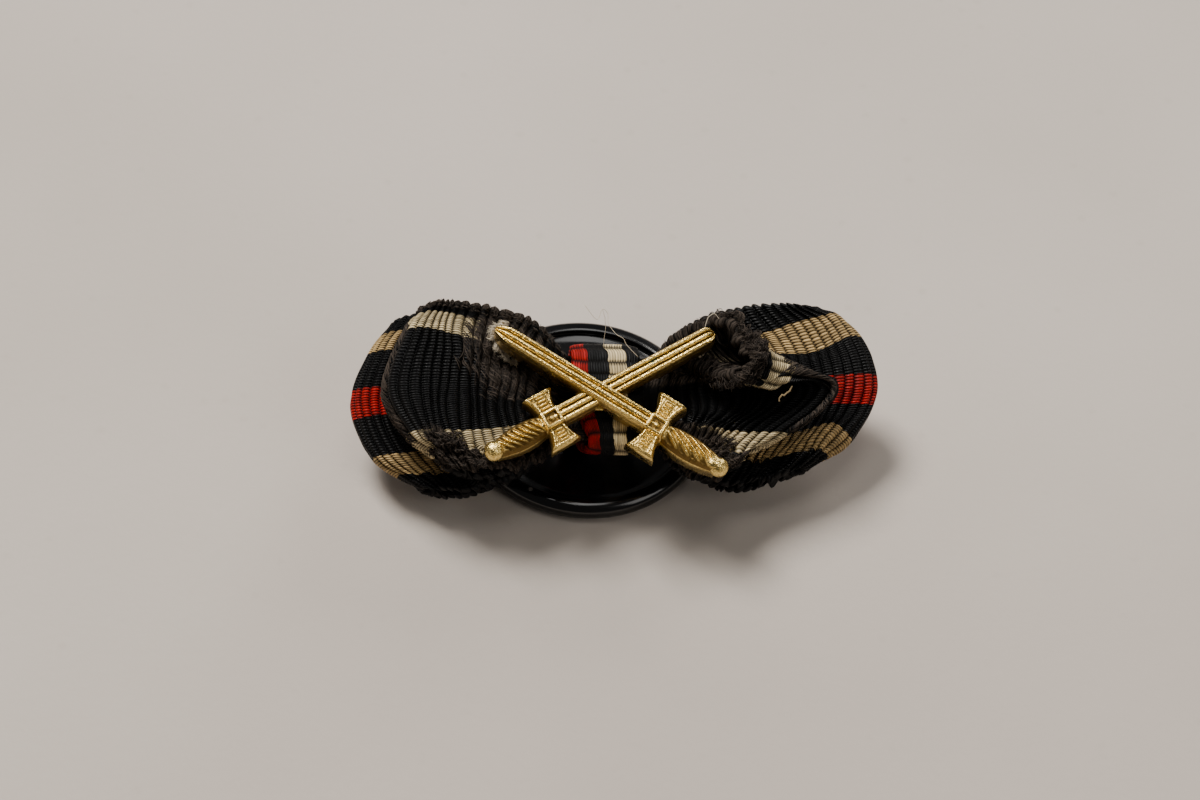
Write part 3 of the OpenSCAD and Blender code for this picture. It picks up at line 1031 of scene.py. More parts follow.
@dataclass
class RibbonRing:
    """A ribbon sewn into a ring, pressed into two loops, as a mesh with real ribs and round edges.

    core is the cloth's thickness under the ribs, bead the height of the thick thread at its edges, crumple
    how deep the lumps of a lumpy place are, fold_widen how much wider the ribs are at the fold, and straight
    how far ribs away from the fold run straight across, 0 for not at all and 1 for all the way.
    """

    bow: BowFrame
    name: str
    width: float
    left: Loop
    right: Loop
    seed: int
    straight: float = 0.0
    rib_pitch: float = 0.71
    rib_depth: float = 0.20
    core: float = 0.28
    columns: int = 49
    crumple: float = 0.42
    bead: float = 0.10
    fold_widen: float = 0.0

    STRAIGHT_LIMIT = 3.0
    FOLD_REACH = 2.6
    PHASES = (0.0, 0.07, 0.2, 0.4, 0.6, 0.8, 0.93)
    FINE = 500
    FEWEST_RIBS = 4
    RIB_VARIETY = 0.09
    RIB_LIMITS = (0.75, 1.3)
    DRIFT = Ripple(0.35, 0.45, 5.0)
    MIDDLE_CROWDING = 0.2
    FREE = (1.0, 0.9)
    BOUND_RIB = 0.35
    UNEVEN = (Ripple(0.22, 0.7, 0.4), Ripple(0.12, 2.1, 1.7, from_along=9))
    NEAR_EDGE = (0.78, 0.93)
    LUMPS = Ripple(1.8, 0.9, 1.15, from_across=31)
    LUMP_SHIFT = 0.25
    FRAYED = Ripple(0.10, 2.9, 1.1)
    BEAD_AT = (0.55, 0.15)
    BEAD_LEAST = 0.6
    BEAD_KNOTS = Ripple(0.4, 1.7, 0.0, from_along=5)
    EDGE_TURNS = (45.0, 0.0, -45.0)

    def build(self, material: Material) -> Object:
        """Makes the mesh.

        Args:
            material: the silk.

        Returns:
            The ribbon's object.
        """
        self.lay_rows()
        self.lift_ribs()
        ring, weave_v = self.close_ring()
        rows, size = ring.shape[:2]
        weave = np.stack([np.repeat(self.rib_no, size), np.tile(weave_v, rows)], axis=1)
        worn = self.ring_values(self.worn_map)
        faces = grid_faces(rows, size, True, True)
        points = self.bow.to_row(ring.reshape(-1, 3))
        return make_object(self.name, points, faces, material, weave, {"worn": worn})

    def declare(self, made: Object, rests_on: str, pieces: Sequence[Object] = ()) -> None:
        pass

    def lay_rows(self) -> None:
        """Finds where each row of points lies, seven rows to a rib, on the ribbon's smooth outer face."""
        rng = np.random.default_rng(self.seed)
        wander = SmoothNoise(self.seed + 1)
        back, front = np.linspace(-1, 0, self.FINE), np.linspace(0, 1, self.FINE)
        bound = self.right.waist_x - self.left.waist_x
        self.v = self.place_columns()
        self.length = 2 * bound
        points, places, ribs, phases, sides = [], [], [], [], []
        count = 0
        for side, w, fold_first in (
            (Side.LEFT, back, False), (Side.LEFT, front, True),
            (Side.RIGHT, front[::-1], False),
            (Side.RIGHT, back[::-1], True),
        ):
            loop = self.left if side is Side.LEFT else self.right
            fine = loop.points(self.bow, w, self.v)
            steps = np.linalg.norm(np.diff(fine, axis=0), axis=-1)
            along = np.concatenate([np.zeros((1, self.columns)), np.cumsum(steps, axis=0)])
            long = float(along[-1, self.columns // 2])
            edges = self.rib_edges(rng, long, fold_first)
            n = len(edges) - 1
            rib = np.repeat(np.arange(n), len(self.PHASES))
            phase = np.tile(self.PHASES, n)
            share = (edges[rib] + phase * (edges[rib + 1] - edges[rib]))[:, None]
            drift = self.DRIFT.at(wander, (count + rib + phase)[:, None], self.v) / n
            share = np.clip(share + drift * np.sin(np.pi * share), 0, 1)
            share = self.straighten(share, loop, long, fold_first)
            laid, where = self.read_along(fine, w, along, share)
            points.append(laid)
            places.append(where)
            ribs.append(count + rib + phase)
            phases.append(phase)
            sides.append(np.full(len(rib), side.value))
            self.length += long
            count += n + (round(bound / self.rib_pitch) if fold_first else 0)
        self.base, self.w = np.concatenate(points), np.concatenate(places)
        self.rib_no, self.phase = np.concatenate(ribs), np.concatenate(phases)
        self.side = np.concatenate(sides)
        self.worn_map = self.patch_map(self.left.worn, self.right.worn)
        self.lumpy_map = self.patch_map(self.left.lumpy, self.right.lumpy)

    def rib_edges(self, rng: np.random.Generator, long: float, fold_first: bool) -> Array:
        """Where the ribs of a stretch begin and end, each a little wider or narrower than the next.

        Args:
            rng: where the widths are drawn.
            long: length of the stretch along its middle.
            fold_first: whether the stretch starts at the fold.

        Returns:
            Shares of the way along, one more than there are ribs.
        """
        n = max(self.FEWEST_RIBS, round(long / self.rib_pitch))
        widths = np.clip(1 + self.RIB_VARIETY * rng.standard_normal(n), *self.RIB_LIMITS)
        from_fold = (np.arange(n) if fold_first else np.arange(n)[::-1]) * self.rib_pitch
        widths = widths * (1 + self.fold_widen * bell(from_fold, 0, self.FOLD_REACH))
        return np.concatenate([[0], np.cumsum(widths)]) / widths.sum()

    @staticmethod
    def read_along(fine: Array, w: Array, along: Array, share: Array) -> tuple[Array, Array]:
        """Reads a stretch at shares of each column's length.

        Args:
            fine: the stretch's points, in close rows.
            w: the place of each of these rows along the loop.
            along: how far along its column each point lies.
            share: the shares to read.

        Returns:
            The points, and their places along the loop.
        """
        index = np.arange(len(w))
        columns = range(fine.shape[1])
        at = np.stack([np.interp(share[:, j] * along[-1, j], along[:, j], index) for j in columns], 1)
        low = np.floor(at).astype(int)
        high = np.minimum(low + 1, len(w) - 1)
        part = at - low
        j = np.array(columns)[None, :]
        points = fine[low, j] * (1 - part[..., None]) + fine[high, j] * part[..., None]
        return points, w[low] * (1 - part) + w[high] * part

    def patch_map(self, left: Sequence[Patch], right: Sequence[Patch]) -> Array:
        """How strong each loop's patches are at the grid's points, 0 to 1."""
        v = self.v[None, :]
        on_left = self.side[:, None] == Side.LEFT.value
        return np.clip(np.where(on_left, add_up(left, self.w, v), add_up(right, self.w, v)), 0, 1)

    def straighten(self, share: Array, loop: Loop, long: float, fold_first: bool) -> Array:
        """Moves ribs so that they run straight across the loop away from the fold.

        Args:
            share: each rib's share of the way along a stretch, for each column.
            loop: the loop.
            long: length of the stretch along its middle.
            fold_first: whether the stretch starts at the fold.

        Returns:
            The new shares.
        """
        fold = np.array(loop.fold, float)
        reach = np.abs(curve(fold[:, 0], fold[:, 1:2], self.v)[:, 0])
        short = self.straight * (reach - np.interp(0.5, self.v, reach))
        held = self.STRAIGHT_LIMIT * np.tanh(short / self.STRAIGHT_LIMIT)
        bent = np.array(loop.bent, float)
        begin, end = curve(bent[:, 0], bent[:, 1:], self.v).T
        d = long * (share if fold_first else 1 - share)
        moved = d + held * ease(begin, end, d) + (short - held) * d / long
        moved = moved / (long + held * ease(begin, end, long) + short - held)
        return np.clip(moved if fold_first else 1 - moved, 0, 1)

    def place_columns(self) -> Array:
        """Places across the ribbon, closer together towards its middle."""
        s = np.linspace(-1, 1, self.columns)
        return 0.5 + 0.5 * ((1 - self.MIDDLE_CROWDING) * s + self.MIDDLE_CROWDING * s**3)

    def lift_ribs(self) -> None:
        """Works out the middle of the cloth, the way out of it and the half thickness at each point."""
        noise = SmoothNoise(self.seed + 2)
        along = np.roll(self.base, -1, axis=0) - np.roll(self.base, 1, axis=0)
        across = np.gradient(self.base, axis=1)
        self.out = unit(np.cross(across, along))
        self.aside = unit(across)
        rib = self.rib_no[:, None]
        mm = self.v[None, :] * self.width
        uneven = 1 + self.UNEVEN[0].at(noise, rib, mm) + self.UNEVEN[1].at(noise, rib, mm)
        free = ease(*self.FREE, np.abs(self.w))
        height = self.rib_depth * rib_shape(self.phase)[:, None] * uneven
        height = height * (self.BOUND_RIB + (1 - self.BOUND_RIB) * free)
        near = ease(*self.NEAR_EDGE, self.v)[None, :] * free
        near = np.maximum(near, self.lumpy_map * free)
        lumps = 1 - np.minimum(1, np.abs(self.LUMPS.at(noise, rib, mm)))
        inward = self.crumple * near * lumps + self.worn_map * self.FRAYED.at(noise, rib, mm)
        edge = np.minimum(self.v, 1 - self.v)[None, :] * self.width
        knots = self.BEAD_LEAST + self.BEAD_KNOTS.at(noise, rib, mm)
        selvedge = self.bead * ease(*self.BEAD_AT, edge) * knots * free
        self.half = self.core / 2 + height + selvedge
        self.middle = self.base - self.out * (self.rib_depth + self.core / 2 + inward)[..., None]
        self.middle[..., 1] -= self.LUMP_SHIFT * near * (lumps - 0.5)

    def close_ring(self) -> tuple[Array, Array]:
        """Closes each row into a ring: the outer face, a round near edge, the inner face, a round far edge.

        Returns:
            The rings, and how many millimetres across the ribbon each point of a ring lies.
        """
        half = self.half[..., None]
        outer = self.middle + self.out * half
        inner = self.middle - self.out * half
        turns = np.radians(self.EDGE_TURNS)
        caps = []
        for column, way in ((-1, 1.0), (0, -1.0)):
            edge = way * self.aside[:, column] * self.half[:, column, None]
            rise = self.out[:, column] * self.half[:, column, None]
            cap = [self.middle[:, column] + math.cos(a) * edge + math.sin(a) * rise for a in way * turns]
            caps.append(np.stack(cap, axis=1))
        ring = np.concatenate([outer, caps[0], inner[:, ::-1], caps[1]], axis=1)
        return ring, self.ring_values(self.v[None, :] * self.width)

    def ring_values(self, values: Array) -> Array:
        """Numbers of the grid, row by row, repeated in the order of the rings' points."""
        ends = len(self.EDGE_TURNS)
        near = np.repeat(values[:, -1:], ends, axis=1)
        far = np.repeat(values[:, :1], ends, axis=1)
        return np.concatenate([values, near, values[:, ::-1], far], axis=1).ravel()

    def row_at(self, side: Side, w: float, v: float) -> float:
        """The row that lies at a place on a loop, with a fraction."""
        rows = np.flatnonzero(self.side == side.value)
        places = self.w[rows, np.argmin(np.abs(self.v - v))]
        if side is Side.RIGHT:
            rows, places = rows[::-1], places[::-1]
        return float(np.interp(w, places, rows))

    def over_face(self, row: Array, v: Array, lift: Array) -> Array:
        """Points over the outer face.

        Args:
            row: the row of each point, with a fraction.
            v: its place across the ribbon, below 0 or above 1 where it hangs over an edge.
            lift: how far above the ribs' tops it lies, in millimetres.

        Returns:
            The points in the bow's frame.
        """
        held = np.clip(v, 0, 1)
        column = np.interp(held, self.v, np.arange(self.columns))
        low = np.floor(row).astype(int)
        j = np.minimum(np.floor(column).astype(int), self.columns - 2)
        s, t = (row - low)[..., None], (column - j)[..., None]
        i, k = low % len(self.base), (low + 1) % len(self.base)

        def read(grid: Array) -> Array:
            """The grid's vectors at the points."""
            first = grid[i, j] * (1 - s) + grid[k, j] * s
            return first * (1 - t) + (grid[i, j + 1] * (1 - s) + grid[k, j + 1] * s) * t

        top = read(self.middle + self.out * self.half[..., None])
        over = ((v - held) * self.width)[..., None]
        return top + read(self.out) * lift[..., None] + read(self.aside) * over


@dataclass(frozen=True)
class Fray:
    """A place on a loop where fibres stand loose.

    w and v are its reach along and across the loop, below 0 or above 1 across for fibres over an edge.
    turn is how far a fibre may turn from the ribs' way, in degrees, and curl how fast it bends, in degrees
    a millimetre. With a twist, each fibre winds over its own rib, across that share of the rib's width.
    Lengths are in millimetres.
    """

    side: Side
    w: Pair
    v: Pair
    count: int
    length: float = 1.6
    turn: float = 0.0
    curl: float = 8.0
    lift: float = 0.03
    radius: float = 0.026
    shade: Pair = (0.0, 0.8)
    twist: float = 0.0


class LooseFibres:
    """Fibres drawn over a ribbon, gathered into one piece."""

    POINTS = 6
    LENGTHS = (0.5, 1.3)
    KINK = 0.25
    FULL_KINK_CURL = 60
    WINDING = (0.6, 1.1)
    OFF_CREST = 0.08
    START_LIFT = (-0.4, 0.6)
    ARCH_LIFT = (0, 1.2)
    THICKNESS = (0.7, 1.3)

    def __init__(self, ring: RibbonRing, seed: int) -> None:
        """Starts with no fibres."""
        self.ring = ring
        self.rng = np.random.default_rng(seed)
        self.strands = Strands()

    def scatter(self, fray: Fray, w: float = 0.0, v: float = 0.0) -> None:
        """Adds the fibres of one place.

        Args:
            fray: the place and how its fibres lie.
            w: how far the place is moved along the loop.
            v: how far it is moved across the loop.
        """
        for _ in range(fray.count):
            self.add(fray, w + self.rng.uniform(*fray.w), v + self.rng.uniform(*fray.v))

    def add(self, fray: Fray, w: float, v: float) -> None:
        """Adds one fibre that starts at a place on the loop."""
        rng, ring = self.rng, self.ring
        long = fray.length * rng.uniform(*self.LENGTHS)
        step = long / (self.POINTS - 1)
        bend = math.radians(rng.normal(0, fray.curl)) * step
        turn = math.radians(rng.normal(0, fray.turn)) + bend * np.arange(self.POINTS)
        turn = turn + rng.normal(0, self.KINK, self.POINTS) * min(1.0, fray.curl / self.FULL_KINK_CURL)
        way = rng.choice((-1.0, 1.0))
        across = np.cumsum(np.cos(turn)) * step * way
        along = np.cumsum(np.sin(turn)) * step
        start = ring.row_at(fray.side, w, min(max(v, 0.0), 1.0))
        per_rib = len(ring.PHASES)
        row = start + (along - along.mean()) / ring.rib_pitch * per_rib
        if fray.twist:
            crest = (math.floor(start / per_rib) + 0.5) * per_rib
            wind = np.linspace(-0.5, 0.5, self.POINTS) * way * rng.uniform(*self.WINDING)
            row = crest + (fray.twist * wind + rng.normal(0, self.OFF_CREST)) * per_rib
        arch = np.sin(np.pi * np.linspace(0, 1, self.POINTS))
        lift = fray.lift * (rng.uniform(*self.START_LIFT) + rng.uniform(*self.ARCH_LIFT) * arch)
        path = ring.over_face(row, v + (across - across.mean()) / ring.width, lift)
        thick = fray.radius * rng.uniform(*self.THICKNESS)
        self.strands.add(ring.bow.to_row(path), thick * MM, rng.uniform(*fray.shade))


RIBBON_WIDTH = 15.5
STRIPED_STRIPES = (
    (0.112, Dye.BLACK), (0.253, Dye.TAN), (0.43, Dye.BLACK), (0.57, Dye.RED), (0.747, Dye.BLACK),
    (0.888, Dye.TAN), (1.0, Dye.BLACK),
)
BLACK_STRIPES = (
    (0.12, Dye.BLACK), (0.26, Dye.WHITE), (0.74, Dye.BLACK), (0.88, Dye.WHITE), (1.0, Dye.BLACK),
)
KNOT_STRIPES = ((0.22, Dye.RED), (0.52, Dye.BLACK), (0.78, Dye.WHITE), (1.0, Dye.BLACK))
# The knot's silk; its valley and parting set its painted shade between ribs and between threads.
KNOT_SILK = {
    "thread": 0.19, "wobble": 0.3, "roughness": 0.5, "valley_shade": 0.95, "parting_shade": 0.6, "thread_bump": 0.6
}

LEFT_STRAY = (
    (-1, 0, 0, 0), (-0.9, 0, 0.9, -0.3), (-0.75, 0, 0.7, -0.5), (0, 0, 0, -0.2), (0.75, 0, 0.7, -0.5),
    (0.9, 0, 0.9, -0.3), (1, 0, 0, 0),
)


def striped_ribbon(bow: BowFrame) -> RibbonRing:
    """The back ribbon: black with two tan stripes and a red one."""
    back, front = bow.striped_back, bow.striped_front
    left = Loop(
        waist_x=-2.9,
        fold=((0, -15.3, 6.4), (0.25, -16.9, 4.2), (0.5, -18.0, 0.4), (0.75, -16.4, -3.4), (1, -13.2, -5.5)),
        rise=(
            level(-1, back), (-0.75, -0.7, -0.8, -1.0, -0.9, -0.7), (-0.4, -1.0, -1.4, -1.7, -1.5, -1.2),
            (0, 0.3, 0.1, 0.0, -0.1, -0.1), (0.4, 1.6, 1.5, 1.4, 1.3, 1.1),
            (0.75, 1.5, 1.5, 1.5, 1.4, 1.2), level(1, front),
        ),
        stray=LEFT_STRAY,
    )
    right = Loop(
        waist_x=2.7,
        fold=((0, 15.2, 7.9), (0.25, 18.1, 6.2), (0.5, 19.2, 2.3), (0.75, 17.3, -1.4), (1, 14.3, -3.7)),
        rise=(
            level(-1, back), (-0.75, -0.5, -0.7, -1.0, -0.9, -0.7), (-0.4, -0.4, -1.1, -1.6, -1.5, -1.2),
            (0, 1.2, 0.6, 0.2, 0.0, 0.0), (0.4, 2.4, 1.8, 1.4, 1.3, 1.2), (0.75, 1.9, 1.6, 1.5, 1.4, 1.2),
            level(1, front),
        ),
        stray=(
            (-1, 0, 0, 0), (-0.9, 0, 0.9, -1.2), (-0.75, 0, 0.6, -1.8), (-0.5, 0, 0, -0.5), (0, 0, 0, 0),
            (0.5, 0, 0, -0.5), (0.75, 0, 0.6, -1.8), (0.9, 0, 0.9, -1.2), (1, 0, 0, 0),
        ),
        dents=(
            Patch(0.42, 0.60, 0.17, 0.12, -0.7), Patch(0.30, 0.92, 0.12, 0.07, 0.35),
            Patch(0.55, 0.95, 0.09, 0.07, -0.45), Patch(0.72, 0.92, 0.09, 0.07, 0.3),
        ),
        slides=(
            Patch(0.24, 0.12, 0.13, 0.08, 0.45), Patch(0.56, 0.25, 0.18, 0.09, -1.2),
            Patch(0.72, 0.12, 0.15, 0.08, -0.9), Patch(0.38, 0.78, 0.17, 0.12, 1.1),
        ),
    )
    return RibbonRing(bow, "striped_ribbon_silk", RIBBON_WIDTH, left, right, seed=11)


def black_ribbon(bow: BowFrame) -> RibbonRing:
    """The front ribbon: black with two white stripes, worn, one far corner bent up and open like a horn."""
    back, front = bow.black_back, bow.black_front
    left = Loop(
        waist_x=-2.9,
        fold=((0, -13.3, 6.3), (0.25, -14.5, 4.7), (0.5, -15.9, 0.4), (0.75, -14.1, -2.9), (1, -11.4, -4.8)),
        rise=(
            level(-1, back), (-0.75, 1.8, 1.8, 1.8, 1.7, 1.5), (-0.4, 1.9, 1.8, 1.7, 1.6, 1.5),
            (0, 3.3, 3.5, 3.5, 3.1, 2.7), (0.4, 4.7, 5.1, 5.2, 4.9, 4.1), (0.75, 3.7, 3.9, 4.0, 3.9, 3.7),
            level(1, front),
        ),
        stray=LEFT_STRAY,
        dents=(
            Patch(0.82, 0.33, 0.07, 0.05, -0.75), Patch(0.70, 0.30, 0.05, 0.06, 0.25),
            Patch(0.42, 0.93, 0.10, 0.07, -0.35), Patch(0.62, 0.95, 0.09, 0.06, 0.30),
        ),
        worn=(
            Patch(0.01, 0.45, 0.09, 0.22, 0.6), Patch(0.80, 0.18, 0.13, 0.12, 1.2),
            Patch(0.84, 0.42, 0.12, 0.18, 0.6), Patch(0.46, 0.85, 0.13, 0.13, 1.2),
            Patch(0.97, 0.80, 0.11, 0.14, 1.2), Patch(0.5, 1.0, 0.6, 0.07, 1.0),
            Patch(0.5, 0.0, 0.6, 0.03, 0.8),
        ),
        lumpy=(Patch(0.45, 0.86, 0.13, 0.10, 0.9), Patch(0.85, 0.95, 0.20, 0.12, 0.9)),
        bent=((0, 0.5, 6), (1, 0.3, 6)),
    )
    right = Loop(
        waist_x=2.7,
        fold=(
            (0, 9.9, 2.6), (0.25, 12.6, 2.6), (0.45, 15.8, 1.6), (0.6, 14.7, -0.3), (0.75, 12.3, -2.0),
            (1, 9.1, -4.1),
        ),
        rise=(
            level(-1, back), (-0.75, 2.0, 1.8, 1.8, 1.7, 1.6), (-0.6, 2.9, 2.2, 1.8, 1.6, 1.6),
            (-0.4, 4.7, 2.9, 1.8, 1.6, 1.6), (0, 6.1, 4.6, 3.2, 2.8, 2.7), (0.4, 5.4, 4.6, 3.9, 3.8, 3.8),
            (0.6, 3.95, 3.8, 3.6, 3.7, 3.8), (0.75, 3.3, 3.4, 3.5, 3.7, 3.8), level(1, front),
        ),
        stray=(
            (-1, 0, 0, 0), (-0.8, -0.9, 2.5, -1.2), (-0.5, -1.1, 3.5, -0.8), (-0.25, -0.6, 2.3, -0.3),
            (0, 0.1, 0.4, -0.1), (0.3, -0.3, -1.5, -0.5), (0.55, -0.8, -1.3, -1.0),
            (0.8, -0.4, 0.1, -1.0), (1, 0, 0, 0),
        ),
        dents=(
            Patch(0.5, 0.52, 0.28, 0.17, -0.7), Patch(0.05, 0.5, 0.06, 0.2, 0.3),
            Patch(0.50, 0.95, 0.10, 0.07, 0.3),
        ),
        worn=(
            Patch(0.0, 0.0, 1.2, 0.065, 1.2), Patch(-0.62, 0.18, 0.25, 0.16, 0.7),
            Patch(0.0, 0.45, 0.05, 0.22, 0.55), Patch(0.72, 0.20, 0.22, 0.12, 1.2),
            # The patch at w 0.95, v 0.20 darkens the far white stripe near the knot to dark worn weft: partly
            # wear and fuzz, partly painted shade.
            Patch(0.95, 0.20, 0.20, 0.16, 1.2), Patch(0.88, 0.84, 0.22, 0.11, 1.3),
            Patch(0.6, 1.0, 0.6, 0.08, 1.1),
        ),
        lumpy=(
            Patch(-0.1, 0.0, 0.8, 0.11, 1.1), Patch(0.85, 0.85, 0.22, 0.16, 1.1),
            Patch(0.75, 0.12, 0.2, 0.12, 0.7),
        ),
        bent=((0, 3.5, 11), (0.26, 3.5, 11), (0.36, 0.5, 8), (0.55, 0.8, 9), (0.75, 3, 12.5), (1, 3, 12.5)),
        slides=(Patch(0.36, 0.20, 0.22, 0.13, -1.3),),
    )
    ribs = {"straight": 1.0, "rib_pitch": 0.76, "rib_depth": 0.24, "fold_widen": 0.5, "crumple": 0.8}
    return RibbonRing(bow, "black_ribbon_silk", RIBBON_WIDTH, left, right, seed=23, **ribs)


FRAYED = (
    Fray(Side.LEFT, (-0.06, 0.09), (0.20, 0.78), 420, 1.2, twist=0.8, radius=0.045),
    Fray(Side.LEFT, (0.66, 0.94), (0.08, 0.40), 330, 0.8, twist=0.9, radius=0.034),
    Fray(Side.LEFT, (0.76, 0.98), (0.34, 0.56), 170, 0.8, twist=0.9, radius=0.034),
    Fray(Side.LEFT, (0.66, 0.88), (0.12, 0.40), 60, 2.0, turn=10, curl=20, radius=0.03),
    Fray(Side.LEFT, (0.34, 0.60), (0.75, 0.97), 420, 0.9, turn=60, curl=120, lift=0.2, radius=0.034),
    Fray(Side.LEFT, (0.10, 1.0), (0.88, 1.01), 900, 0.8, turn=60, curl=120, lift=0.2, radius=0.034),
    Fray(Side.LEFT, (-0.4, 1.0), (-0.005, 0.06), 700, 0.5, turn=75, curl=90, lift=0.1),
    Fray(Side.LEFT, (0.74, 0.92), (0.26, 0.40), 110, 0.9, turn=50, curl=60, lift=0.12),
    Fray(Side.RIGHT, (-0.9, 0.85), (-0.02, 0.07), 3400, 0.45, turn=80, curl=160, lift=0.4, radius=0.027),
    Fray(Side.RIGHT, (-0.8, -0.2), (0.05, 0.30), 240, 0.9, turn=40, curl=70, lift=0.15),
    Fray(Side.RIGHT, (0.55, 0.98), (0.02, 0.24), 420, 0.7, turn=60, curl=100, lift=0.2, radius=0.034),
    Fray(Side.RIGHT, (-0.06, 0.06), (0.22, 0.72), 320, 0.8, twist=0.7, radius=0.04),
    Fray(Side.RIGHT, (0.60, 1.0), (0.80, 0.99), 620, 0.8, turn=60, curl=120, lift=0.2, radius=0.034),
    Fray(Side.RIGHT, (0.15, 1.0), (0.90, 1.01), 500, 0.6, turn=60, curl=100, lift=0.15, radius=0.034),
)
FLUFF_PLACES = (
    (0.785, 0.100), (0.768, 0.135), (0.760, 0.175), (0.765, 0.220), (0.785, 0.262), (0.815, 0.285),
    (0.845, 0.295),
)
FLUFF = Fray(
    Side.LEFT, (-0.014, 0.014), (-0.022, 0.022), 130, 0.48, turn=90, curl=150, lift=0.25, radius=0.015
)
WORN_SEED, FLUFF_SEED = 31, 37


@dataclass(frozen=True)
class Lint:
    """One loose hair or bit of straw, by a few points of the bow's frame."""

    name: str
    points: tuple[Triple, ...]
    radius: float
    light: float
    kink: float = 0.0

    STEPS = 8
    KINKS = 9
    NOISE_ROWS = (1.5, 4.5)

    def build(self, bow: BowFrame, material: Material) -> Object:
        """Makes the piece.

        Args:
            bow: the bow's frame.
            material: its finish.

        Returns:
            The strand's object.
        """
        keys = np.linspace(0, 1, len(self.points))
        steps = np.linspace(0, 1, self.STEPS * len(self.points))
        path = curve(keys, np.array(self.points), steps)
        noise = SmoothNoise(len(self.points))
        for axis, row in enumerate(self.NOISE_ROWS):
            path[:, axis] += self.kink * noise.at(steps * self.KINKS, row)
        strands = Strands(sides=6)
        strands.add(bow.to_row(path), self.radius * MM, self.light, taper=0.7)
        return strands.build(self.name, material)


HAIRS = (
    Lint(
        "long_hair",
        (
            (-1.96, 6.27, 5.5), (-1.08, 5.40, 5.2), (-0.69, 6.15, 5.2), (-0.30, 5.83, 5.1),
            (-0.23, 5.12, 5.0), (0.27, 4.47, 4.8), (0.84, 4.19, 4.6), (1.04, 3.79, 4.4),
            (1.85, 3.07, 4.1),
        ),
        0.020,
        0.45,
        0.05,
    ),
    Lint("short_hair", ((-0.69, 6.15, 5.2), (-0.45, 5.27, 4.8), (-0.53, 3.72, 4.0)), 0.016, 0.2, 0.04),
    Lint(
        "curved_thread",
        ((6.39, 4.84, 5.6), (6.62, 5.5, 5.8), (7.05, 5.8, 5.7), (7.4, 5.5, 5.5)),
        0.022,
        0.5,
        0.02,
    ),
)
STRAW = Lint(
    "straw_bit",
    ((11.58, -0.01, 4.15), (11.8, 0.4, 4.3), (12.2, 0.62, 4.25), (12.58, 1.01, 4.35)),
    0.06,
    0.9,
    0.12,
)


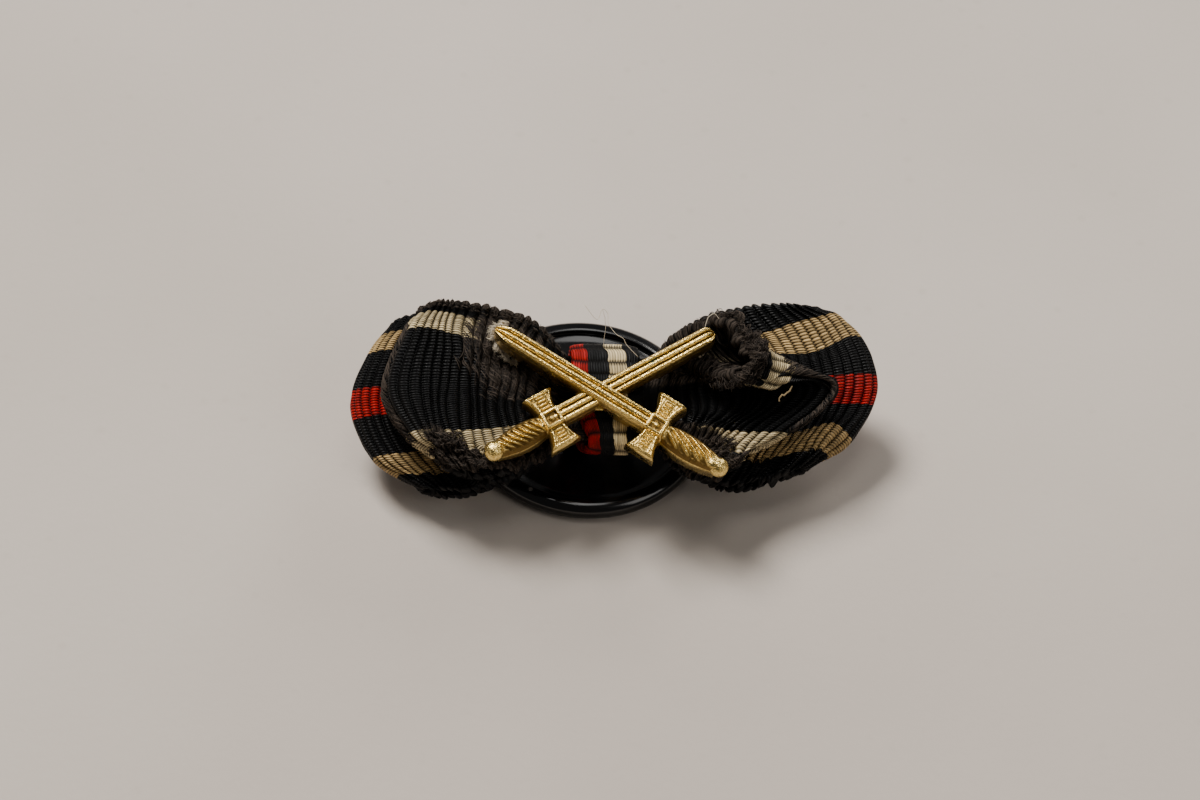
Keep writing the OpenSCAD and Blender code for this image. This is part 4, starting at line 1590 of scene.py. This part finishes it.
@dataclass
class Knot:
    """The band wrapped round the waist: ribbed silk with soft folded edges.

    gather is how much closer together the threads are drawn at the near end, over the share gather_at of
    the width, and slip how far all threads move there. pinched is how much narrower the band's left half
    is at the near end, and pinched_all all round.
    """

    bow: BowFrame
    width: float = 5.0
    middle_x: float = -0.15
    slant: float = 0.09
    room: float = 0.3
    rib_pitch: float = 0.36
    rib_depth: float = 0.13
    section: int = 34
    phases: int = 8
    gather: float = 0.32
    gather_at: float = 0.55
    slip: float = 0.34
    pinched: float = 0.20
    pinched_all: float = 0.06

    FINE = 1440
    SIDE_ROUNDNESS = 0.35
    TOP_ROUNDNESS = 0.55
    CORNERS, CORNERS_OUTSIDE = 0.14, 0.40
    RUCKS = Ripple(0.25, 0.3, 2.0)
    UNEVEN = Ripple(1.0, 0.26, 0.0, from_across=3.0)
    UNEVEN_EDGE = 0.05
    RIBBED_EDGE = 0.05
    SWAY = Ripple(0.2, 3.0, 0.0, from_across=2.5)
    NEAR_SIDE, NEAR_TOP = (0.1, -0.45), (-0.4, 0.0)

    def build(self, material: Material) -> Object:
        """Makes the mesh.

        Args:
            material: the silk.

        Returns:
            The knot's object.
        """
        noise = SmoothNoise(5)
        turn = self.rib_turns()
        inner = self.path(turn, 0.0)
        wall = self.path(turn, self.bow.knot_wall) - inner
        rib = np.arange(len(turn)) / self.phases
        shape = rib_shape(rib % 1)[:, None]
        around = circle(self.section)
        x = signed_power(np.cos(around), self.SIDE_ROUNDNESS)
        up = signed_power(np.sin(around), self.TOP_ROUNDNESS)[None, :]
        lift = self.rib_depth * shape * (1 + self.RUCKS.at(noise, rib[:, None], x[None, :]))
        crown = self.bow.knot_crown * (1 - x**2)[None, :]
        swell = (up > 0) * (lift - self.rib_depth + crown)
        yn = inner[:, None] + wall[:, None] * (0.5 + 0.5 * up)[..., None]
        yn = yn + unit(wall)[:, None] * swell[..., None]
        narrow = 1 - self.UNEVEN_EDGE * (1 + self.UNEVEN.at(noise, rib, 0.0))
        edge = self.width / 2 * narrow[:, None] * x + self.RIBBED_EDGE * shape * np.sign(x)
        tuck = self.pinched_all + self.pinched * self.near_end(turn)
        edge = edge * np.where(x < 0, 1 - tuck[:, None], 1)
        across = self.middle_x + edge - self.slant * yn[..., 0]
        points = np.stack([across, yn[..., 0], yn[..., 1]], axis=-1).reshape(-1, 3)
        weave = np.stack([np.repeat(rib, self.section), self.threads_at(x, turn).ravel()], axis=1)
        faces = grid_faces(len(turn), self.section, True, True)
        marks = {"worn": np.zeros(len(points))}
        return make_object("knot_band_silk", self.bow.to_row(points), faces, material, weave, marks)

    def rib_turns(self) -> Array:
        """Angles round the band, a whole number of ribs of the same length."""
        fine = circle(self.FINE)
        path = self.path(fine, 0.0)
        steps = np.linalg.norm(np.roll(path, -1, axis=0) - path, axis=1)
        along = np.concatenate([[0], np.cumsum(steps)])
        rows = round(float(along[-1]) / self.rib_pitch) * self.phases
        return np.interp(np.arange(rows) / rows * along[-1], along, np.append(fine, 2 * np.pi))

    def threads_at(self, x: Array, turn: Array) -> Array:
        """Millimetres across the silk at each point, drawn in and moved aside at the near end.

        Args:
            x: places across the band, from -1 to 1.
            turn: angles round it.

        Returns:
            A row for each angle.
        """
        near = self.near_end(turn)[:, None]
        sway = self.SWAY.at(SmoothNoise(8), turn, 0.0)[:, None]
        mm = (x[None, :] + 1) / 2 * self.width + sway
        middle = self.gather_at * self.width
        gathered = np.where(mm < middle, middle + (mm - middle) * (1 + self.gather * near), mm)
        return gathered + self.slip * near

    def near_end(self, turn: Array) -> Array:
        """How near an angle round the band is to the front's near end, 0 to 1."""
        return ease(*self.NEAR_SIDE, np.cos(turn)) * ease(*self.NEAR_TOP, np.sin(turn))

    def path(self, turn: Array, grow: float) -> Array:
        """The band's way round the waist.

        Args:
            turn: angles round it.
            grow: how far outside the bound stack it runs.

        Returns:
            y and n for each angle.
        """
        low, high = self.bow.knot_span
        mid, half = (low + high) / 2, (high - low) / 2
        power = self.CORNERS + self.CORNERS_OUTSIDE * min(1.0, grow / self.bow.knot_wall)
        up, side = signed_power(np.sin(turn), power), signed_power(np.cos(turn), power)
        n = mid + half * up
        y = self.bow.stack_mid(n) + (self.bow.stack_half(n) + self.room + grow) * side
        return np.stack([y, mid + (half + grow) * up], axis=1)


# Swords


@dataclass(frozen=True)
class Place:
    """Where a part's own frame stands in the bow's frame: its origin, and its turn about n in degrees."""

    x: float
    y: float
    n: float
    turn: float

    def move(self, points: Array) -> Array:
        """Points of the part's frame in the bow's frame."""
        a = math.radians(self.turn)
        turn = np.array([[math.cos(a), math.sin(a), 0], [-math.sin(a), math.cos(a), 0], [0, 0, 1]])
        return points @ turn + np.array([self.x, self.y, self.n])


class Line(NamedTuple):
    """A fine raised line, or a sunken one with a height below 0."""

    at: float
    half: float
    height: float

    def over(self, x: Array) -> Array:
        """Its height at places across it."""
        return self.height * bell(x, self.at, self.half)


@dataclass(frozen=True)
class Strip:
    """A raised strip of stamped metal with a flat back, from its own origin to end, as high as top.

    Each kind has stations, the places along it, half, its half width at such places, and height, which gives
    its relief at places along it and shares of the half width. ACROSS is how many points lie from side to
    side, and WALL the height of its sides as a share of its top.
    """

    top: float
    end: float

    ACROSS = 61
    WALL = 0.66

    def green(self, x: Array, s: Array) -> Array:
        """How much verdigris lies at places along the strip and shares of its half width."""
        return 0 * x * s


class ReliefMesh:
    """Gathers raised strips of metal, each closed, into one mesh."""

    SIDE_ROUNDNESS = 7
    SHOULDER_INSET = 0.07
    TOP_EDGE = 0.3
    FULL_RELIEF = 0.30
    SIDE_RELIEF = 0.60
    TURNED_RELIEF = 0.85
    SKIRT = 0.38
    SKIRT_STARTS = (2.85, 3.4)
    SKIRT_LESS, SKIRT_LESS_AT = 0.4, (5.5, 8.0)

    def __init__(self) -> None:
        """Starts with no strips."""
        self.points: list[Array] = []
        self.faces: list[list[int]] = []
        self.relief: list[Array] = []
        self.green: list[Array] = []
        self.count = 0
        self.tarnish = 0.0

    def strip(self, part: Strip, place: Place) -> None:
        """Adds a strip with a flat back, straight sides and its relief on top.

        Args:
            part: the strip.
            place: where it stands.
        """
        stations = part.stations()
        x = stations[:, None]
        s = np.sin(np.linspace(-np.pi / 2, np.pi / 2, part.ACROSS))[None, :]
        h = part.half(stations)[:, None]
        z = part.height(x, s)
        shoulder = np.clip(1 - np.abs(s) ** self.SIDE_ROUNDNESS, 0, 1) ** 0.5
        z_top = z * (part.WALL + (1 - part.WALL) * shoulder)
        y_top = h * s * (1 - self.SHOULDER_INSET * shoulder)
        edges = ((-h, 0 * x), (y_top, z_top), (h, 0 * x))
        rings = [np.stack(np.broadcast_arrays(x, y, up), axis=-1) for y, up in edges]
        rings = np.concatenate(rings, axis=1)
        rows, size = rings.shape[:2]
        raised = np.clip(1 - (z.max(axis=1, keepdims=True) - z) / self.FULL_RELIEF, 0, 1)
        raised = np.where(shoulder > self.TOP_EDGE, raised, self.SIDE_RELIEF)
        relief = np.pad(raised, ((0, 0), (1, 1)), constant_values=self.SIDE_RELIEF) - self.tarnish
        placed = place.move(rings.reshape(-1, 3)).reshape(rings.shape)
        placed[:, (0, -1), 2] -= self.skirt(placed[:, (0, -1), 0])
        faces = grid_faces(rows, size, False, True).tolist()
        last = (rows - 1) * size
        faces += [list(range(size - 1, -1, -1)), list(range(last, last + size))]
        self.gather(placed.reshape(-1, 3), faces, relief, np.pad(part.green(x, s), ((0, 0), (1, 1))))

    def skirt(self, x: Array) -> Array:
        """How far beside the knot the metal's sides reach down towards the ribbons."""
        beside = ease(*self.SKIRT_STARTS, np.abs(x))
        return self.SKIRT * beside * (1 - self.SKIRT_LESS * ease(*self.SKIRT_LESS_AT, np.abs(x)))

    def lathe(self, profile: Array, place: Place, sides: int = 48) -> None:
        """Adds a body turned about its own z axis.

        Args:
            profile: radius and height of its outline, from its low pole to its high pole.
            place: where it stands.
            sides: how many points a circle has.
        """
        points, faces = turned(profile, sides)
        total = len(points)
        self.gather(place.move(points), faces, np.full(total, self.TURNED_RELIEF), np.zeros(total))

    def gather(self, points: Array, faces: list[list[int]], relief: Array, green: Array) -> None:
        """Adds points with their marks, and faces that number them from 0."""
        self.points.append(points)
        self.faces += [[self.count + corner for corner in face] for face in faces]
        self.relief.append(relief.ravel())
        self.green.append(green.ravel())
        self.count += len(points)

    def build(self, name: str, bow: BowFrame, material: Material) -> Object:
        """Makes the mesh of all strips."""
        marks = {"relief": np.concatenate(self.relief), "green": np.concatenate(self.green)}
        return make_object(name, bow.to_row(np.concatenate(self.points)), self.faces, material, marks=marks)


class TipShape(NamedTuple):
    """How long a blade's end is, millimetres, and the two powers that round it."""

    length: float
    fullness: float
    rounding: float


class Tip(Enum):
    """How a blade ends."""

    POINTED = TipShape(1.75, 2.1, 0.62)
    BLUNT = TipShape(0.8, 2.3, 0.5)


@dataclass(frozen=True)
class Blade(Strip):
    """The blade: bevelled sides, three ridges with fine grooves between, and a rounded end."""

    tip: Tip
    green_at: float | None
    wide: float = 0.75
    slimmer: float = 0.006
    ridge_pitch: float = 0.70
    ridge: float = 0.05
    groove_half: float = 0.075
    groove_depth: float = 0.17
    edge_line: Line = Line(0.79, 0.05, -0.06)
    outline: Line = Line(0.84, 0.09, 0.10)
    bevel: float = 0.13
    bevel_from: float = 0.80
    tip_drop: float = 0.42
    tip_drop_power: float = 2.5
    tip_flatter: float = 0.6
    tip_flat_from: float = 0.75
    spot: Triple = (0.35, 0.2, 0.25)

    ACROSS = 81

    def in_tip(self, x: Array) -> Array:
        """The share of the way along the tip."""
        length = self.tip.value.length
        return np.clip((x - (self.end - length)) / length, 0, 1)

    def stations(self) -> Array:
        """Places along the blade, closer together at its tip."""
        root, length = self.end - self.tip.value.length, self.tip.value.length
        tip = root + length * np.sin(np.linspace(0, np.pi / 2, 30))
        return np.concatenate([np.linspace(0, root, 60)[:-1], tip])

    def half(self, x: Array) -> Array:
        """Half width of the blade."""
        shape = self.tip.value
        rounded = (1 - self.in_tip(x) ** shape.fullness) ** shape.rounding
        return self.wide * (1 - self.slimmer * x) * rounded + 1e-4

    def height(self, x: Array, s: Array) -> Array:
        """Height of the blade's relief."""
        t, side = self.in_tip(x), np.abs(s)
        starts = ease(0.0, 0.5, t)
        crown = self.ridge + self.ridge * np.cos(2 * np.pi * s / self.ridge_pitch)
        groove = self.groove_depth * bell(side, self.ridge_pitch / 2, self.groove_half)
        rise = 1 - self.tip_flatter * ease(self.tip_flat_from, 1.0, t)
        bevel = self.bevel * ease(self.bevel_from, 1.0, side) * (1 - 0.5 * starts)
        lines = (crown - groove + self.edge_line.over(side)) * rise + self.outline.over(side) * starts
        return self.top + lines - bevel - self.tip_drop * t**self.tip_drop_power

    def green(self, x: Array, s: Array) -> Array:
        """A spot of verdigris beside the middle ridge."""
        if self.green_at is None:
            return 0 * x * s
        half_x, at_s, half_s = self.spot
        return bell(x, self.green_at, half_x) * bell(s, at_s, half_s)


@dataclass(frozen=True)
class GuardArm(Strip):
    """One flared arm of the guard: raised borders round a sunken field with rungs between two rails."""

    neck: float = 0.66
    flare: float = 1.14
    flare_from: float = 0.5
    flare_power: float = 2.1
    border: float = 0.22
    border_soft: float = 0.08
    border_height: float = 0.17
    rung_pitch: float = 0.27
    first_rung: float = 0.75
    rung_height: float = 0.15
    rung_ends: Pair = (0.40, 0.30)
    rungs_stop: Pair = (0.25, 0.40)
    rail: Line = Line(0.46, 0.05, 0.08)
    rails_spread: float = 0.1
    rails_stop: Pair = (0.2, 0.4)
    rounded: float = 0.16
    round_from: float = 0.2
    sunk: float = 0.10
    field_rise: float = 0.05

    def stations(self) -> Array:
        """Places along the arm."""
        return np.linspace(0.2, self.end, 64)

    def half(self, x: Array) -> Array:
        """Half width of the arm."""
        t = np.clip((x - self.flare_from) / (self.end - self.flare_from), 0, 1)
        return self.neck + (self.flare - self.neck) * t**self.flare_power

    def height(self, x: Array, s: Array) -> Array:
        """Height of the arm's relief."""
        y, to_end = np.abs(s) * self.half(x), self.end - x
        edge = self.border + self.border_soft, self.border - self.border_soft
        rim = np.maximum(ease(*edge, self.half(x) - y), ease(*edge, to_end))
        rungs = 0.5 - 0.5 * np.cos(2 * np.pi * (x - self.first_rung) / self.rung_pitch)
        rungs = rungs * ease(*self.rung_ends, y) * ease(*self.rungs_stop, to_end)
        rail = self.rail.over(y - self.rails_spread * (x - 1)) * ease(*self.rails_stop, to_end)
        field = self.top - self.sunk + self.field_rise * (x - 1)
        end = self.rounded * ease(self.round_from, 0, to_end)
        return field + self.border_height * rim + self.rung_height * rungs + rail - end


@dataclass(frozen=True)
class Boss(Strip):
    """The square boss in the middle of the guard, with its raised frame and domed middle."""

    raised: float = 0.04
    frame: float = 0.26
    frame_inside: Pair = (0.38, 0.48)
    frame_outside: Pair = (0.76, 0.62)
    dome: float = 0.13
    dome_edge: Pair = (0.30, 0.08)
    chamfer: float = 0.14
    chamfer_at: Pair = (0.64, 0.76)

    ACROSS = 41
    WALL = 0.7

    def stations(self) -> Array:
        """Places along the boss."""
        return np.linspace(-self.end, self.end, 44)

    def half(self, x: Array) -> Array:
        """Half width of the boss."""
        return np.full_like(x, self.end)

    def height(self, x: Array, s: Array) -> Array:
        """Height of the boss's relief."""
        out = np.maximum(np.abs(x), np.abs(s) * self.end)
        frame = self.frame * ease(*self.frame_inside, out) * ease(*self.frame_outside, out)
        dome = self.dome * ease(*self.dome_edge, np.hypot(x, s * self.end))
        return self.top + self.raised + frame + dome - self.chamfer * ease(*self.chamfer_at, out)


@dataclass(frozen=True)
class Grip(Strip):
    """The leaf-shaped grip with slanted ribs and a collar at the guard."""

    rib_lean: float
    rib_pitch: float
    start: float = 0.3
    root: float = 0.60
    leaf: tuple[Pair, ...] = ((0.3, 0.88), (0.58, 0.94), (0.84, 0.76), (1.0, 0.56))
    first_rib: float = 1.0
    rib_bow: float = 0.3
    rib_sharpness: float = 1.5
    rib_height: float = 0.22
    ribs_start: Pair = (0.75, 1.05)
    ribs_stop: Pair = (0.35, 0.8)
    ribs_side: Pair = (0.88, 0.66)
    collar: Line = Line(0.72, 0.11, 0.10)
    collar_side: Pair = (0.95, 0.7)
    sunk: float = 0.06
    round_sides: float = 0.34
    round_power: float = 2.4

    def stations(self) -> Array:
        """Places along the grip."""
        return np.linspace(self.start, self.end, 130)

    def half(self, x: Array) -> Array:
        """Half width of the grip."""
        keys = [self.start, *(share * self.end for share, _ in self.leaf)]
        return curve(keys, np.array([self.root, *(half for _, half in self.leaf)]), x)

    def height(self, x: Array, s: Array) -> Array:
        """Height of the grip's relief."""
        side = np.abs(s)
        y = s * self.half(x[:, 0])[:, None]
        lean = self.rib_lean * (y + self.rib_bow * y**2)
        rib = 0.5 + 0.5 * np.cos(2 * np.pi * (x - self.first_rib - lean) / self.rib_pitch)
        zone = ease(*self.ribs_start, x) * ease(*self.ribs_stop, self.end - x)
        ribs = self.rib_height * (rib**self.rib_sharpness - 0.5) * zone * ease(*self.ribs_side, side)
        collar = self.collar.over(x) * ease(*self.collar_side, side)
        return self.top - self.sunk - self.round_sides * side**self.round_power + ribs + collar


@dataclass(frozen=True)
class Web(Strip):
    """A low wedge of metal in a crotch of the blades, from its start to its round edge between them."""

    start: float
    opening: float
    least: float = 0.5
    inset: float = 0.4
    drop: float = 0.25
    dish: float = 0.12

    ACROSS = 15
    WALL = 0.72

    def stations(self) -> Array:
        """Places along the web."""
        return np.linspace(max(self.start, self.least), self.end, 10)

    def half(self, x: Array) -> Array:
        """Half width of the web."""
        return math.tan(math.radians(self.opening)) * x - self.inset + 1e-3

    def height(self, x: Array, s: Array) -> Array:
        """Height of the web."""
        return self.top - self.drop * ease(self.start, self.end, x) + self.dish * s**2


@dataclass(frozen=True)
class Sword:
    """One sword: its guard's place, the blade's turn, how high it lies and its lengths, millimetres."""

    x: float
    y: float
    turn: float
    lift: float
    grip: float
    guard: float
    tip: Tip
    blade: float = 13.1
    height: float = 1.15
    green_at: float | None = None
    rib_lean: float = -1.7
    rib_pitch: float = 0.95
    boss: float = 0.76
    pommel: float = 0.70

    BALL_FLATNESS = 0.96
    BALL_SUNK = 0.02
    BALL_CLEAR = 0.06

    def place(self, base: float, extra_turn: float = 0.0, along: float = 0.0) -> Place:
        """Where a part of the sword stands.

        Args:
            base: height of its back.
            extra_turn: its turn from the blade's direction, degrees.
            along: how far along the blade's line its own origin lies.

        Returns:
            The place.
        """
        a = math.radians(self.turn)
        return Place(self.x + along * math.cos(a), self.y + along * math.sin(a), base, self.turn + extra_turn)

    def add_to(self, metal: ReliefMesh, base: float) -> None:
        """Adds all of the sword's parts to the metal."""
        top = self.height + self.lift
        metal.strip(Blade(top, self.blade, self.tip, self.green_at), self.place(base))
        for turn in (90.0, -90.0):
            metal.strip(GuardArm(top, self.guard), self.place(base, turn))
        metal.strip(Boss(top, self.boss), self.place(base))
        metal.strip(Grip(top, self.grip, self.rib_lean, self.rib_pitch), self.place(base, 180))
        turn = np.linspace(-np.pi / 2, np.pi / 2, 25)
        ball = np.stack([np.cos(turn), np.sin(turn) * self.BALL_FLATNESS + 1], axis=1) * self.pommel
        metal.lathe(ball, self.place(base - self.BALL_SUNK, 0, -self.grip - self.BALL_CLEAR))


@dataclass(frozen=True)
class CrossedSwords:
    """Two swords stamped as one piece, one over the other."""

    bow: BowFrame
    web: float = 0.14
    web_depth: float = 0.6
    web_height: float = 0.7
    under_tarnish: float = 0.2

    UPPER = Sword(2.95, -2.45, 147.9, lift=0.30, grip=5.0, guard=2.25, tip=Tip.POINTED)
    LOWER = {"lift": -0.05, "grip": 4.5, "guard": 2.05, "tip": Tip.BLUNT, "green_at": 8.2}
    UNDER = Sword(-4.2, -2.0, 30.6, rib_lean=-0.75, rib_pitch=0.46, **LOWER)

    def build(self, material: Material) -> Object:
        """Makes the mesh.

        Args:
            material: the gilt brass.

        Returns:
            The swords' object.
        """
        metal = ReliefMesh()
        for sword, tarnish in ((self.UNDER, self.under_tarnish), (self.UPPER, 0.0)):
            metal.tarnish = tarnish
            sword.add_to(metal, self.bow.swords_at)
        self.add_webs(metal)
        return metal.build("crossed_swords_gilt", self.bow, material)

    def add_webs(self, metal: ReliefMesh) -> None:
        """Adds a small web of metal in each crotch of the two blades."""
        upper, under = self.UPPER, self.UNDER
        a, b = (np.array([math.cos(t), math.sin(t)]) for t in np.radians([upper.turn, under.turn]))
        step = np.linalg.solve(np.stack([a, -b], 1), np.array([under.x - upper.x, under.y - upper.y]))
        x, y = np.array([upper.x, upper.y]) + step[0] * a
        half_turn = (upper.turn - under.turn) / 2
        for wide, extra in ((half_turn, 0), (half_turn, 180), (90 - half_turn, 90), (90 - half_turn, -90)):
            crotch = Blade.wide / math.sin(math.radians(wide))
            web = Web(self.web_height, crotch + self.web, crotch - self.web_depth, wide)
            metal.strip(web, Place(x, y, self.bow.swords_at, under.turn + half_turn + extra))


# The stud


@dataclass(frozen=True)
class StudDisc:
    """The dished disc with its rolled rim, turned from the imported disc's own size, millimetres.

    lip holds points of the groove inside the rim, outwards from the dish's edge and above the groove.
    """

    rim_share: float = 0.5
    sides: int = 256
    roll_turn: tuple[int, int, int] = (-88, 121, 8)
    groove: float = 0.3
    lip: tuple[Pair, ...] = ((0.05, 0.1), (-0.02, 0.0), (-0.12, 0.01), (-0.25, 0.03))
    bowl_inset: float = 0.4
    bowl_middle: float = 0.02
    bowl_low: float = 0.6
    bowl_power: float = 3.2

    def build(self, material: Material) -> Object:
        """Makes the mesh.

        Args:
            material: the lacquer.

        Returns:
            The disc's object.
        """
        low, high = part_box("button_disc")
        roll = (high.z - low.z) / MM * self.rim_share
        ring_r = (high.x - low.x) / 2 / MM - roll
        turn = np.radians(np.arange(*self.roll_turn))
        rolled = np.stack([ring_r + roll * np.cos(turn), roll + roll * np.sin(turn)], axis=1)
        dish_r, dish_z = ring_r - self.groove, roll + self.groove
        lip = [(dish_r + out, dish_z + up) for out, up in self.lip]
        bowl_r = np.linspace(dish_r - self.bowl_inset, self.bowl_middle, 18)
        bowl_z = self.bowl_low + (dish_z - self.bowl_low) * (bowl_r / dish_r) ** self.bowl_power
        foot = [(0, 0), (ring_r * 0.5, 0), (dish_r, 0)]
        outline = [*foot, *rolled, *lip, *zip(bowl_r, bowl_z), (0, self.bowl_low)]
        points, faces = turned(np.array(outline), self.sides)
        return make_object("stud_disc_lacquered", points * MM, faces, material)


# Scene


@dataclass(frozen=True)
class Lamp:
    """A square soft light that looks at the bow: its place and side in metres and its power in watts."""

    name: str
    place: Triple
    size: float
    power: float
    colour: Triple

    def add(self) -> None:
        """Adds the light."""
        data = bpy.data.lights.new(self.name, "AREA")
        data.size = self.size
        data.energy = self.power
        data.color = self.colour
        light = bpy.data.objects.new(self.name, data)
        turn = Vector(self.place).to_track_quat("Z", "Y").to_matrix().to_4x4()
        light.matrix_world = Matrix.Translation(self.place) @ turn
        bpy.context.scene.collection.objects.link(light)


@dataclass(frozen=True)
class Studio:
    """The camera at the photograph's angle, soft lights and the floor."""

    azimuth: float = -6.7
    elevation: float = 51.3
    roll: float = 6.5
    lens: float = 100.0
    sensor: float = 36.0
    clip: Pair = (0.001, 20)
    frame_px: tuple[int, int] = (1200, 800)
    disc_px: Pair = (584.4, 416.5)
    disc_at: Triple = (0.0, 0.0, 1.0)
    px_per_mm: float = 14.0
    world_colour: tuple[float, float, float, float] = (0.80, 0.78, 0.75, 1)
    world_light: float = 0.11
    floor_half: float = 1.5
    floor_z: float = -0.00001

    LAMPS = (
        Lamp("key", (-0.26, 0.30, 0.60), 0.26, 8.0, (1.0, 0.97, 0.93)),
        Lamp("top", (0.03, 0.02, 0.70), 0.24, 0.7, (1.0, 0.98, 0.95)),
        Lamp("fill", (0.45, -0.30, 0.45), 0.34, 0.9, (1.0, 0.96, 0.92)),
        Lamp("rim", (0.30, 0.45, 0.30), 0.22, 1.1, (1.0, 0.98, 0.96)),
    )

    def build(self, floor: Material) -> None:
        """Sets up camera, lights, world and floor."""
        self.add_camera()
        for lamp in self.LAMPS:
            lamp.add()
        self.add_world()
        self.add_floor(floor)

    def add_camera(self) -> None:
        """Places the camera so that the disc's middle is seen where the photograph has it."""
        az, el, roll = (math.radians(a) for a in (self.azimuth, self.elevation, self.roll))
        back = Vector((math.sin(az) * math.cos(el), -math.cos(az) * math.cos(el), math.sin(el)))
        right = (-back).cross(Vector((0, 0, 1))).normalized()
        up = right.cross(-back)
        across = math.cos(roll) * right + math.sin(roll) * up
        upward = -math.sin(roll) * right + math.cos(roll) * up
        focal_px = self.lens / self.sensor * self.frame_px[0]
        distance = focal_px / self.px_per_mm
        shift_x = (self.disc_px[0] - self.frame_px[0] / 2) / self.px_per_mm
        shift_y = (self.disc_px[1] - self.frame_px[1] / 2) / self.px_per_mm
        place = (Vector(self.disc_at) + back * distance - across * shift_x + upward * shift_y) * MM
        data = bpy.data.cameras.new("camera")
        data.lens = self.lens
        data.sensor_width = self.sensor
        data.clip_start, data.clip_end = self.clip
        camera = bpy.data.objects.new("camera", data)
        turn = Matrix((across, upward, back)).transposed()
        camera.matrix_world = Matrix.Translation(place) @ turn.to_4x4()
        bpy.context.scene.collection.objects.link(camera)
        bpy.context.scene.camera = camera

    def add_world(self) -> None:
        """Adds a dim world."""
        world = bpy.data.worlds.new("world")
        world.use_nodes = True
        background = world.node_tree.nodes["Background"]
        background.inputs["Color"].default_value = self.world_colour
        background.inputs["Strength"].default_value = self.world_light
        bpy.context.scene.world = world

    def add_floor(self, material: Material) -> None:
        """Adds the floor under the disc."""
        half = self.floor_half
        corners = ((-half, -half), (half, -half), (half, half), (-half, half))
        points = [(x, y, self.floor_z) for x, y in corners]
        mesh = bpy.data.meshes.new("floor")
        mesh.from_pydata(points, [], [(0, 1, 2, 3)])
        mesh.materials.append(material)
        floor = bpy.data.objects.new("floor", mesh)
        bpy.context.scene.collection.objects.link(floor)


def settle(piece: Object, node: str = "") -> Object:
    """Puts a piece on the bow's body and reports it.

    Args:
        piece: the piece.
        node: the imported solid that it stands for, if it stands for one.

    Returns:
        The piece.
    """
    if node:
        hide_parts(node)
    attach(piece, "root")
    log.info("%s built: %d faces", piece.name, len(piece.data.polygons))
    return piece


def add_loose_fibres(ring: RibbonRing, effects: Effects) -> list[Object]:
    """Adds worn fibres, fluff and lint to the black ribbon.

    Args:
        ring: the ribbon.
        effects: the node groups.

    Returns:
        The pieces.
    """
    brown = Fibre("worn_fibre", Dye.WORN, Dye.WORN_PALE).build(effects)
    pieces = []
    for side in Side:
        worn = LooseFibres(ring, WORN_SEED + side.value)
        for fray in FRAYED:
            if fray.side is side:
                worn.scatter(fray)
        pieces.append(worn.strands.build(f"worn_fibres_{side.name.lower()}", brown))
    white = LooseFibres(ring, FLUFF_SEED)
    for w, v in FLUFF_PLACES:
        white.scatter(FLUFF, w, v)
    lint = Fibre("white_lint", Dye.FLUFF_SHADE, Dye.FLUFF).build(effects)
    pieces.append(white.strands.build("white_fluff", lint))
    pieces += [hair.build(ring.bow, lint) for hair in HAIRS]
    pieces.append(STRAW.build(ring.bow, Fibre("straw", Dye.STRAW_SHADE, Dye.STRAW).build(effects)))
    return [settle(piece) for piece in pieces]


def main() -> None:
    """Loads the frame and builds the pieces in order."""
    logging.basicConfig(level=logging.INFO, format="%(message)s")
    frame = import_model()
    effects = Effects()
    bow = BowFrame()
    Studio().build(Ground().build(effects))

    lacquer = Lacquer().build(effects)
    settle(StudDisc().build(lacquer), "button_disc")
    neck = frame["nodes"]["stud_neck"]
    neck.data.materials.clear()
    neck.data.materials.append(lacquer)
    log.info("stud_neck dressed")

    striped = striped_ribbon(bow)
    silk = Silk("striped_grosgrain", STRIPED_STRIPES, striped.width)
    piece = settle(striped.build(silk.build(effects)), "striped_ribbon")
    striped.declare(piece, "stud_neck")

    black = black_ribbon(bow)
    silk = Silk("black_white_grosgrain", BLACK_STRIPES, black.width)
    piece = settle(black.build(silk.build(effects)), "black_ribbon")
    black.declare(piece, "striped_ribbon_silk", add_loose_fibres(black, effects))

    knot = Knot(bow)
    silk = Silk("knot_grosgrain", KNOT_STRIPES, knot.width, **KNOT_SILK)
    settle(knot.build(silk.build(effects)), "knot_band")

    settle(CrossedSwords(bow).build(Brass().build(effects)), "crossed_swords")


if __name__ == "__main__":
    main()
